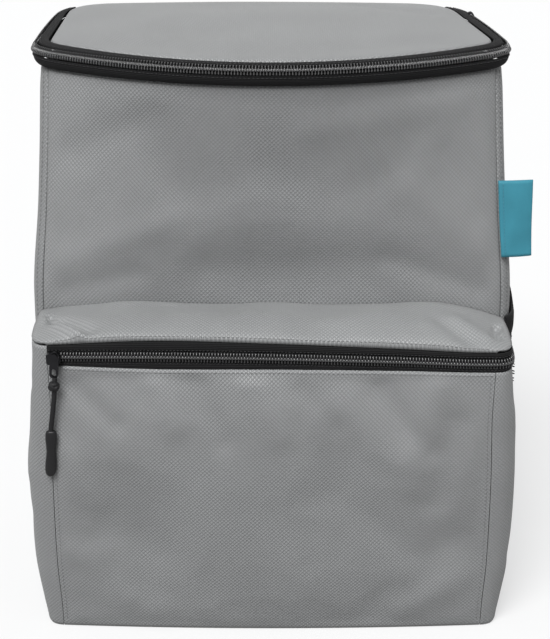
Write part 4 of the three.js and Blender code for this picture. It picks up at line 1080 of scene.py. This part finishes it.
def pocket_wall(stretch, tops, step, relief, sew_roll):
    length = walk(pocket_stretches(pocket_height / 2)[stretch], [0.5])[2]
    shares = (seam_gap / 2 + edge_places(length - seam_gap, step)) / length
    top = tops(shares)
    levels = edge_places(1, step / float(np.mean(top)), ends=(False, False))
    z = pocket_foot + levels[:, None] * (top[None, :] - seam_gap - pocket_foot)
    share = np.repeat(shares[None], len(levels), 0)
    position, out = pocket_look[stretch](share, z)
    from_edge = (np.minimum(shares, 1 - shares) * length)[None, :]
    near_top, near_foot = top[None, :] - z, z - pocket_foot
    fade = np.clip(np.minimum(np.minimum(from_edge, near_top), near_foot) / (10 * mm), 0, 1)
    fade = fade * fade * (3 - 2 * fade)
    across = (share - 0.5) * length
    sink = roll_depth(from_edge, sew_roll) + roll_depth(near_top, 0.8 * mm) + roll_depth(near_foot, 0.8 * mm)
    offset = relief(across, z) * fade - sink
    return position + out * offset[..., None], across, z, out, length


pocket_front_folds = [
    (-120, 172, -96, 150, 7, -1.0), (-70, 176, -60, 150, 9, 1.2), (-46, 178, -30, 140, 8, -0.9),
    (-12, 176, 4, 146, 10, 1.2), (18, 172, 40, 150, 8, -0.8), (40, 160, 78, 128, 12, 1.3),
    (66, 172, 96, 132, 8, -1.2), (100, 176, 84, 110, 10, 1.0), (112, 150, 100, 96, 9, -1.1),
    (-126, 60, -92, 26, 9, 1.0), (-110, 90, -70, 60, 12, -0.8), (118, 40, 84, 16, 10, 0.9),
    (-40, 60, 30, 48, 26, 1.0), (50, 84, 100, 60, 14, -0.8), (-128, 130, -112, 96, 9, 0.9)]


def pocket_front_relief(x, z):
    return 1.5 * fold_height(x, z, pocket_front_folds) + slow_ripple(x, z, 41, 95 * mm, 2.6 * mm)


gusset_folds = [(-12, 150, 10, 110, 7, 0.9), (8, 80, -10, 50, 8, -0.9), (-6, 185, 10, 170, 5, -0.8)]


def gusset_relief(x, z):
    return fold_height(x, z, gusset_folds) + slow_ripple(x, z, 47, 70 * mm, 0.8 * mm)


left_top = float(zip_edge(1, 0, "upper")[0])
pocket_walls = [
    ("pocket_left_gusset", 0, lambda s: np.full(len(s), left_top), gusset_relief),
    ("pocket_front_panel", 1, lambda s: zip_edge(1, s, "lower"), pocket_front_relief),
    ("pocket_right_gusset", 2, lambda s: zip_edge(2, s, "lower"), gusset_relief)]
for node, stretch, tops, relief in pocket_walls:
    position, across, up, out, length = pocket_wall(stretch, tops, 2.0 * mm, relief, 0.5 * mm)
    wall = add_piece(node + "_cloth", cloth_mesh(node + "_cloth", position, across, up), grey_cloth,
                     "grey_cloth", node)
    if stretch == 1:
        inside = np.zeros(position.shape[:2], bool)
        inside[4:-4, 7:-7] = True
        settle_cloth(wall, ~inside, 0.004, 14, 1.4 * mm)
    thicken(wall, pocket_cloth)
    if stretch == 1:
        hem = int(np.searchsorted(up[:, 0], up[-1, 0] - 3.2 * mm))
        seam_stitches("pocket_zip_lower_hem_stitches", position[hem, 3:-3], out[hem, 3:-3], *hem_stitch)
        for label, column in (("start", 4), ("end", -5)):
            seam_stitches(f"{node}_{label}_stitches", position[3:-3, column], out[3:-3, column],
                          2.7 * mm, 2.1 * mm, 0.28 * mm)


def stretch_run(count_front, count_side):
    return [(1, np.linspace(0, 1, count_front + 1)[:-1]), (2, np.linspace(0, 1, count_side + 1))]


def zip_rows(levels, offset_at, counts=(150, 40)):
    parts = []
    for stretch, shares in stretch_run(*counts):
        lower, upper = zip_edge(stretch, shares, "lower"), zip_edge(stretch, shares, "upper")
        z = np.array([level(lower, upper) for level in levels])
        parts.append(pocket_look[stretch](np.repeat(shares[None], len(z), 0), z, offset_at))
    return np.concatenate([p[0] for p in parts], 1), np.concatenate([p[1] for p in parts], 1)


def coil_middle_height(lower, upper):
    return lower + coil_place * (upper - lower)


def pocket_tape(name, node, low, high, swell):
    shares = np.concatenate([[0, 0.05, 0.14], np.linspace(0.25, 0.75, 5), [0.86, 0.95, 1]])
    levels = [lambda a, b, s=s: low(a, b) + s * (high(a, b) - low(a, b)) for s in shares]
    sink = edge_roll(shares, 0.22, 0.45 * mm)
    position, _ = zip_rows(levels, (swell * np.sin(np.pi * shares) - sink)[:, None])
    run = distance_along(position[len(shares) // 2])
    up = position[..., 2] - position[:1, :, 2]
    tape = add_piece(name, cloth_mesh(name, position, np.repeat(run[None], len(shares), 0), up),
                     black_tape, "black_tape", node)
    thicken(tape, tape_thickness)


def coil_foot(lower, upper):
    return coil_middle_height(lower, upper) - zip_coil_width / 2


def coil_head(lower, upper):
    return coil_middle_height(lower, upper) + zip_coil_width / 2


pocket_tape("pocket_zip_lower_band", "pocket_zip_tape_lower", lambda a, b: a,
            lambda a, b: coil_foot(a, b) - seam_gap, 0.2 * mm)
pocket_tape("pocket_zip_upper_band", "pocket_zip_tape_upper", lambda a, b: coil_head(a, b) + seam_gap,
            lambda a, b: b, 0.2 * mm)
pocket_tape("pocket_zip_core", "pocket_zip_coil", coil_foot, coil_head, -0.2 * mm)
zip_levels, zip_out = zip_rows([coil_middle_height, lambda a, b: coil_middle_height(a, b) + mm], 0.2 * mm,
                               (260, 60))
coil_loops("pocket_zip_loops", "pocket_zip_coil", zip_levels[0], zip_levels[1] - zip_levels[0], zip_out[0])
for name, level in (("pocket_zip_lower_sewing", lambda a, b: coil_foot(a, b) - 0.9 * mm),
                    ("pocket_zip_upper_sewing", lambda a, b: coil_head(a, b) + 0.9 * mm)):
    sewing, sewing_out = zip_rows([level], 0.2 * mm)
    seam_stitches(name, sewing[0], sewing_out[0], 2.2 * mm, 1.6 * mm, 0.25 * mm, black_thread, "black_tape")


# Puffed top of the pocket: one piece of the same cloth, its back edge sewn to the box and its
# front edge to the zip's upper tape. Both front corners are dented and creased.
def pocket_top_surface():
    u = edge_places(1, 0.0075, ends=(False, False))
    v = edge_places(1, 0.035, ends=(False, False))
    crest = pocket_height + pocket_top_rise
    top_gap = pocket_cloth + seam_gap
    left_end = float(zip_edge(1, 0, "upper")[0]) + top_gap
    right_end = float(zip_edge(2, 1, "upper")[0]) + top_gap
    back = []
    for s in u:
        end = left_end if s < 0.5 else right_end
        fall = abs(2 * s - 1) ** 7
        z = crest - (crest - end) * fall
        point, out, _ = walk(body_side(0, z), [s])
        back.append(at_height(point, out, z, rest_gap + fall * gusset_seat)[0])
    back = np.array(back)
    front = pocket_look[1](u, zip_edge(1, u, "upper") + top_gap)[0]
    left = pocket_look[0](v, np.full(len(v), left_end))[0]
    right = pocket_look[2](1 - v, zip_edge(2, 1 - v, "upper") + top_gap)[0]
    left[0], right[0] = back[0], back[-1]
    left[-1], right[-1] = front[0], front[-1]
    position = patch_points(back, front, left, right, u, v)
    puff = pocket_puff * np.sin(np.pi * u)[None, :].clip(0) ** 0.5 * np.sin(np.pi * v)[:, None]
    x, y = position[..., 0].copy(), position[..., 1].copy()
    top_reach = 46 * mm
    from_front = (1 - v)[:, None] * top_reach
    from_side = (np.minimum(u, 1 - u) * pocket_patch[0])[None, :]
    calm = np.clip(np.minimum(from_front, from_side) / (7 * mm), 0, 1)
    folds = [(-136, -90, -130, -103, 2.6, -4.2), (-142, -80, -137, -94, 3.5, 2.6),
             (-131, -104, -114, -121, 2.8, 3.0), (-126, -98, -108, -114, 4, -2.2),
             (-60, -86, 30, -92, 9, -0.8),
             (40, -106, 70, -90, 8, 0.9), (137, -96, 134, -108, 2.6, -4.0), (142, -84, 139, -104, 3.0, 2.6),
             (128, -112, 112, -96, 5, 1.6), (116, -116, 100, -100, 5, -1.4), (-30, -112, -14, -94, 7, 0.7),
             (0, -80, 90, -82, 6, -0.6), (-96, -84, -60, -82, 5, 1.2), (60, -84, 118, -82, 5, 1.0)]
    lift = puff + calm * (1.3 * fold_height(x, y, folds) + slow_ripple(x, y, 53, 60 * mm, 1.6 * mm))
    position[..., 2] += lift - roll_depth(from_front, 2.0 * mm)
    return position, x, y


top_position, top_x, top_y = pocket_top_surface()
pocket_top = add_piece("pocket_top_cloth", cloth_mesh("pocket_top_cloth", top_position, top_x, top_y),
                       grey_cloth, "grey_cloth", "pocket_top_panel")
thicken(pocket_top, pocket_cloth, 1)
hem_row = int(len(top_position) * 0.9)
seam_stitches("pocket_zip_upper_hem_stitches", top_position[hem_row, 4:-4],
              np.tile([0, -0.6, 0.8], (top_position.shape[1] - 8, 1)), *hem_stitch)


# Flat foot of the pocket: one layer of the same cloth, sewn between the box's base and the
# pocket's walls. It lies flat on the ground.
def pocket_base_mesh():
    ends = []
    for stretch, count in ((0, 14), (1, 60), (2, 15)):
        shares = np.arange(count) / (count if stretch < 2 else count - 1)
        ends.append(pocket_look[stretch](shares, np.full(count, 0.9 * mm), -pocket_cloth - seam_gap)[0])
    front = np.vstack(ends)
    inset = 0.02
    share = inset + np.linspace(0, 1, len(front)) * (1 - 2 * inset)
    point, out, _ = walk(body_side(0, base_thickness), share)
    back = at_height(point, out, 0.9 * mm, rest_gap)
    v = np.linspace(0, 1, 9)[:, None, None]
    position = back[None] * (1 - v) + front[None] * v
    return cloth_mesh("pocket_base_cloth", position, position[..., 0], position[..., 1])


foot = add_piece("pocket_base_cloth", pocket_base_mesh(), grey_cloth, "grey_cloth", "pocket_base")
thicken(foot, pocket_cloth * 0.9, 0)


# Slider and puller of the pocket's zip: zinc castings in the same blackened metal. Both are
# rigid, so the CAD shapes are kept and only take the finish.
for node in ("pocket_zip_slider", "pocket_zip_puller"):
    metal_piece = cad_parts[node]
    metal_piece.data.materials.clear()
    metal_piece.data.materials.append(dark_metal)


# Label: a strip of satin ribbon folded double and caught in the right front seam, a little
# curled, bare on both faces, with a stitched end at the seam.
label_height, label_reach, label_centre = 46 * mm, 21.5 * mm, 257 * mm
label_lean, label_swing, label_gap = 0.12, 2.5 * mm, 0.9 * mm


def label_mesh():
    rows, columns = 25, 15
    v = np.linspace(0, 1, rows)
    z = label_centre - label_height / 2 + v * label_height
    seam = np.array([walk(body_side(1, h), [0])[0][0] for h in z])
    out_shares = np.concatenate([np.linspace(0, 0.94, columns), [0.975, 0.995]])
    shares = np.concatenate([out_shares, out_shares[::-1]])
    hands = np.concatenate([np.full(len(out_shares), -1), np.full(len(out_shares), 1)])
    spread = np.sqrt(np.clip(1 - np.clip((shares - 0.9) / 0.1, 0, 1) ** 2, 0, 1)) * hands * label_gap / 2
    reach = label_reach * (1 - label_lean * (1 - v))
    position = np.zeros((rows, len(shares), 3))
    curl = 0.8 * mm * np.sin(2 * np.pi * (v[:, None] * 0.8 + 0.1)) * shares[None] ** 2
    position[..., 0] = seam[:, 0:1] + shares[None] * reach[:, None]
    position[..., 1] = (seam[:, 1:2] - rest_gap - 0.6 * mm + label_swing * shares[None] ** 2
                        + spread[None] + curl)
    position[..., 2] = z[:, None]
    across = np.concatenate([out_shares, 2 - out_shares[::-1]]) * label_reach
    return cloth_mesh("side_label_folded", position, np.repeat(across[None], rows, 0),
                      np.repeat(z[:, None], len(shares), 1)), position


label_satin = webbing_material("label_satin", (0.042, 0.205, 0.270), 0.0005, 0.0004, 0.00004, 0.42)
label_fold, label_points = label_mesh()
side_label = add_piece("side_label_folded", label_fold, label_satin, "label_cloth", "side_label")
thicken(side_label, 0.28 * mm, 0)
label_thread = finish_material("label_thread", (0.045, 0.20, 0.27), 0.5, grain=0.0004)
label_line = label_points[1:-1, 2] + np.array([0, -0.2 * mm, 0])
seam_stitches("side_label_stitches", label_line, np.tile([0.0, -1.0, 0.0], (len(label_line), 1)),
              2.2 * mm, 1.6 * mm, 0.22 * mm, label_thread, "label_cloth")


# Net pocket on the right side: a knotless net of soft black cord, gathered at its foot and
# along its sides, under a folded elastic binding that closes its mouth.
net_height, net_foot, net_bulge = 181 * mm, 9 * mm, 13 * mm
binding_height, binding_thickness, binding_stand_off = 14.5 * mm, 1.8 * mm, 6 * mm
net_seam, net_clearance, net_taper = 0.015, 0.6 * mm, 1.4
net_cell, net_cord_radius = 4.9 * mm, 0.42 * mm
net_profile = [dict(height=0.00, swell=0.03), dict(height=0.15, swell=0.62), dict(height=0.38, swell=1.00),
               dict(height=0.60, swell=0.80), dict(height=0.85, swell=0.45),
               dict(height=1.00, swell=binding_stand_off / net_bulge)]
right_look = wall_lookup(lambda z: body_side(1, z), 0, body_height)


def towards_ends(share, pull):
    return share - pull * np.sin(2 * np.pi * share)


def net_place(share, z, stand_off, lift):
    along = net_seam + share * (1 - 2 * net_seam)
    away = net_clearance + stand_off * np.sin(np.pi * np.clip(share, 0, 1)) ** net_taper
    return right_look(along, z, away + lift)


# Each cord of the net zigzags between its neighbours: a straight diagonal with a small wave
def net_mesh():
    rows = int(round((net_height - net_foot) / net_cell))
    columns = 30
    per_cell, sides = 3, 5
    points, faces = [], []
    for hand in (1, -1):
        for start in range(-rows, columns + 1):
            t = np.arange(0, rows * per_cell + 1) / per_cell
            i = (start + t) if hand == 1 else (columns - start - t)
            wave = 0.10 * np.sin(2 * np.pi * t)
            i, j = i + wave * hand, t - wave
            inside = (i >= 0) & (i <= columns) & (j >= 0) & (j <= rows)
            if inside.sum() < 4:
                continue
            i, j = i[inside], j[inside]
            z = net_foot + j / rows * (net_height - net_foot)
            swell = np.array([row_at(net_profile, s)["swell"] for s in j / rows]) * net_bulge
            weave = 0.35 * mm * hand * np.cos(2 * np.pi * (i + j))
            centre, out = net_place(towards_ends(i / columns, 0.09), z, swell, 0.8 * mm + weave)
            along = np.gradient(centre, axis=0)
            along /= np.linalg.norm(along, axis=1, keepdims=True)
            wide = np.cross(along, out)
            faces += tube_faces(len(points), len(centre), sides)
            for k in range(len(centre)):
                for s in range(sides):
                    a = 2 * math.pi * s / sides
                    points.append(centre[k] + wide[k] * math.cos(a) * net_cord_radius
                                  + out[k] * math.sin(a) * net_cord_radius)
    # Loose gathers that stand out from the front edge, each between two heights
    for low, high, start in ((132, 180, 0.0), (134, 178, 2.3), (84, 114, 1.0), (86, 112, 3.6)):
        z = np.arange(low, high, 0.6) * mm
        turn = 2 * np.pi * z / net_cell + start
        calm = np.abs(np.sin(np.pi * (z - z[0]) / (z[-1] - z[0]))) ** 0.5
        loose, _ = right_look(np.full(len(z), 0.035), z, (1.4 + 3.4 * calm * (1 + np.sin(turn))) * mm)
        loose[:, 1] += 2.6 * mm * np.cos(turn)
        faces += tube_faces(len(points), len(loose), sides)
        for spot in loose:
            for s in range(sides):
                a = 2 * math.pi * s / sides
                points.append(spot + np.array([math.cos(a), 0.5 * math.sin(a), 0.7 * math.sin(a)]) * 0.4 * mm)
    return raw_mesh("mesh_pocket_net_knit", points, faces)


net_cord = finish_material("net_cord", (0.028, 0.028, 0.030), 0.6, grain=0.0005, grain_depth=0.00005,
                           specular=0.4)
net = add_piece("mesh_pocket_net_knit", net_mesh(), net_cord, "black_net", "mesh_pocket_net")

elastic = webbing_material("binding_elastic", (0.016, 0.016, 0.017), 0.0013, 0.0008, 0.0003)


def binding_mesh():
    u = np.linspace(0, 1, 90)
    v = np.concatenate([[0, 0.04, 0.12], np.linspace(0.25, 0.75, 5), [0.88, 0.96, 1]])
    sink = edge_roll(v, 0.15, 0.6 * mm)
    pleats = 0.25 * mm * np.sin(u * 2 * np.pi * 34)[None] * np.sin(np.pi * v)[:, None]
    share = np.repeat(towards_ends(u, 0.13)[None], len(v), 0)
    z = net_height + seam_gap + v[:, None] * binding_height * np.ones_like(share)
    position, _ = net_place(share, z, binding_stand_off, binding_thickness - sink[:, None] + pleats)
    run = np.repeat((u * 2 * half_depth)[None], len(v), 0)
    return cloth_mesh("mesh_pocket_elastic", position, run, z)


binding = add_piece("mesh_pocket_elastic", binding_mesh(), elastic, "black_tape", "mesh_pocket_binding")
thicken(binding, binding_thickness)


# Shoulder straps: foam pads in the same cloth, sewn under the lid's hinge, filled and then
# settled by a short cloth simulation; webbing runs from each through a moulded adjuster.
strap_width, strap_thickness = 56 * mm, 8 * mm
strap_top, strap_spacing, strap_stand_off, strap_end = 300 * mm, 104 * mm, 21 * mm, 128 * mm
sewn_gap = 0.6 * mm
strap_route_shares = [(0.00, 0.000, 0.00), (0.00, 0.000, 0.45), (0.01, 0.070, 0.95), (0.10, 0.400, 1.00),
                      (0.26, 0.700, 0.80), (0.38, 0.920, 0.56), (0.38, 1.000, 0.55)]


def back_point(x, z, offset):
    line = body_side(2, z)
    length = walk(line, [0.5])[2]
    point, out, _ = walk(line, [0.5 - x / length])
    return np.array([*(point[0] + out[0] * offset), z])


def strap_route(hand):
    x = hand * strap_spacing / 2
    return smooth_route(np.array([
        back_point(x * (1 + lean), strap_top - drop * (strap_top - strap_end),
                   sewn_gap + away * strap_stand_off)
        for lean, drop, away in strap_route_shares]), 90)


# Rings of a flat band with round edges, its width lying along the given axis
def band_rings(route, axis, width, thickness, sides=28, power=0.45):
    along = np.gradient(route, axis=0)
    along /= np.linalg.norm(along, axis=1, keepdims=True)
    wide = axis - along * (along @ axis)[:, None]
    wide /= np.linalg.norm(wide, axis=1, keepdims=True)
    thick = np.cross(along, wide)
    a = np.linspace(0, 2 * np.pi, sides, endpoint=False)
    c = np.sign(np.cos(a)) * np.abs(np.cos(a)) ** power
    s = np.sign(np.sin(a)) * np.abs(np.sin(a)) ** 0.8
    return (route[:, None] + wide[:, None] * (c * width / 2)[None, :, None]
            + thick[:, None] * (s * thickness / 2)[None, :, None])


across_axis, up_axis = np.array([1.0, 0, 0]), np.array([0, 0, 1.0])


def settle_pad(piece, cap):
    remesh = piece.modifiers.new("even_cloth", "REMESH")
    remesh.mode = "VOXEL"
    remesh.voxel_size = 4 * mm
    bpy.context.view_layer.update()
    evaluated = piece.evaluated_get(bpy.context.evaluated_depsgraph_get())
    piece.data = bpy.data.meshes.new_from_object(evaluated)
    piece.modifiers.clear()
    start = np.array([v.co for v in piece.data.vertices])
    settled = simulated(piece, 16, quality=5, uniform_pressure_force=3, tension_stiffness=25,
                        bending_stiffness=0.6)
    piece.data.vertices.foreach_set("co", (start + capped(settled - start, cap)).ravel())
    piece.data.update()
    smooth = piece.modifiers.new("smooth_cloth", "SUBSURF")
    smooth.levels = smooth.render_levels = 1
    piece.data.shade_smooth()
    set_place(piece.data, np.array([v.co for v in piece.data.vertices])[:, [0, 2, 1]])


def on_surface(piece, points, direction):
    tree = BVHTree.FromObject(piece, bpy.context.evaluated_depsgraph_get())
    found = []
    for point in points:
        hit = tree.ray_cast(Vector(point) + Vector(direction) * 0.05, -Vector(direction))[0]
        found.append(np.array(hit) if hit else np.array(point))
    return np.array(found)


def tube_mesh(name, rings, run):
    mesh = ring_tube(name, rings)
    count, sides = rings.shape[:2]
    half = np.abs(np.linspace(-1, 1, sides, endpoint=False))
    place = np.stack([np.repeat(run[:, None], sides, 1), np.repeat(half[None], count, 0) * 25 * mm,
                      np.zeros((count, sides))], -1)
    set_place(mesh, place)
    return mesh


webbing = webbing_material("black_webbing", (0.016, 0.016, 0.017), 0.0016, 0.0010, 0.00035)
webbing_width, webbing_thickness = 25 * mm, 1.6 * mm
webbing_foot, webbing_foot_spread, webbing_lift, webbing_tail = 22 * mm, 112 * mm, 4 * mm, 45 * mm
buckle_bar, buckle_thickness, slot_height, strap_settle = 4 * mm, 3 * mm, 3.6 * mm, 0.6 * mm
adjuster_plastic = finish_material("moulded_adjuster", (0.022, 0.022, 0.024), 0.4, grain=0.0009,
                                   grain_depth=0.00003, specular=0.5)
for name, hand in (("left", -1), ("right", 1)):
    route = strap_route(hand)
    thinner = band_rings(route, across_axis, strap_width - 1.5 * mm, strap_thickness - 2.2 * mm)
    pad_mesh = ring_tube(f"shoulder_strap_{name}_pad", thinner)
    pad = add_piece(f"shoulder_strap_{name}_pad", pad_mesh, grey_cloth, "grey_cloth", f"shoulder_strap_{name}")
    settle_pad(pad, 1.6 * mm)
    pad.data.materials.clear()
    pad.data.materials.append(grey_cloth)
    for side in (-1, 1):
        row = route[10:-4] + across_axis * side * (strap_width / 2 - 6 * mm)
        line = on_surface(pad, row, (0, 1, 0))
        seam_stitches(f"shoulder_strap_{name}_stitches_{'inner' if side == -hand else 'outer'}", line,
                      np.tile([0.0, 1.0, 0.0], (len(line), 1)), *body_stitch)
    end = route[-1]
    height = 3 * buckle_bar + 2 * slot_height
    centre = np.array([end[0], end[1], strap_end - strap_settle - height / 2])
    low_slot = centre[2] - (buckle_bar + slot_height) / 2
    bend = buckle_thickness / 2 + rest_gap + webbing_thickness / 2
    slack = (slot_height - webbing_thickness) / 2 - seam_gap
    foot_point = back_point(hand * webbing_foot_spread, webbing_foot, sewn_gap)
    lifted = back_point(hand * webbing_foot_spread, webbing_foot, sewn_gap + webbing_lift)
    under = low_slot - slot_height / 2 - buckle_bar
    stops = [foot_point, lifted, lifted + (centre - lifted) * 0.12 + np.array([0, 0, webbing_lift]),
             lifted + (centre - lifted) * 0.5]
    for shift_x, away, z in ((hand * 1.5 * mm, -bend - mm, under - 8 * mm),
                             (0, -bend, under + buckle_bar / 2),
                             (0, -bend * 0.7, low_slot + slack * 0.5), (0, 0, low_slot + slack),
                             (0, bend * 0.7, low_slot + slack * 0.5), (0, bend, under + buckle_bar / 2),
                             (0, bend + 0.5 * mm, under - 8 * mm), (0, bend + mm, under - webbing_tail)):
        stops.append(np.array([centre[0] + shift_x, centre[1] + away, z]))
    line = smooth_route(np.array(stops), 110)
    run = distance_along(line)
    rings = band_rings(line, across_axis, webbing_width, webbing_thickness, sides=16, power=0.25)
    ribbon = add_piece(f"strap_webbing_{name}_woven", tube_mesh(f"strap_webbing_{name}_woven", rings, run),
                       webbing, "black_tape", f"strap_webbing_{name}")
    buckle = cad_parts[f"strap_buckle_{name}"]
    buckle.data.materials.clear()
    buckle.data.materials.append(adjuster_plastic)


# Grab handle: a loop of the same webbing, 22 mm wide, its two ends sewn flat on the back
# under the lid, with a little sag in its middle
handle_half, handle_reach, handle_height, handle_sag = 38 * mm, 21 * mm, 330 * mm, 4 * mm
handle_width, handle_thickness = 22 * mm, 3 * mm
handle_shares = [(-1.00, 0.00, 0.0), (-1.00, 0.35, 0.0), (-0.60, 0.92, 0.6), (0.00, 1.00, 1.0),
                 (0.60, 0.92, 0.6), (1.00, 0.35, 0.0), (1.00, 0.00, 0.0)]
handle_line = smooth_route(np.array([
    back_point(across * handle_half, handle_height - drop * handle_sag, sewn_gap + away * handle_reach)
    for across, away, drop in handle_shares]), 80)
handle_run = distance_along(handle_line)
handle_rings = band_rings(handle_line, up_axis, handle_width, handle_thickness, sides=20, power=0.3)
handle_mesh = tube_mesh("grab_handle_woven", handle_rings, handle_run)
grab_handle = add_piece("grab_handle_woven", handle_mesh, webbing, "black_tape", "grab_handle")
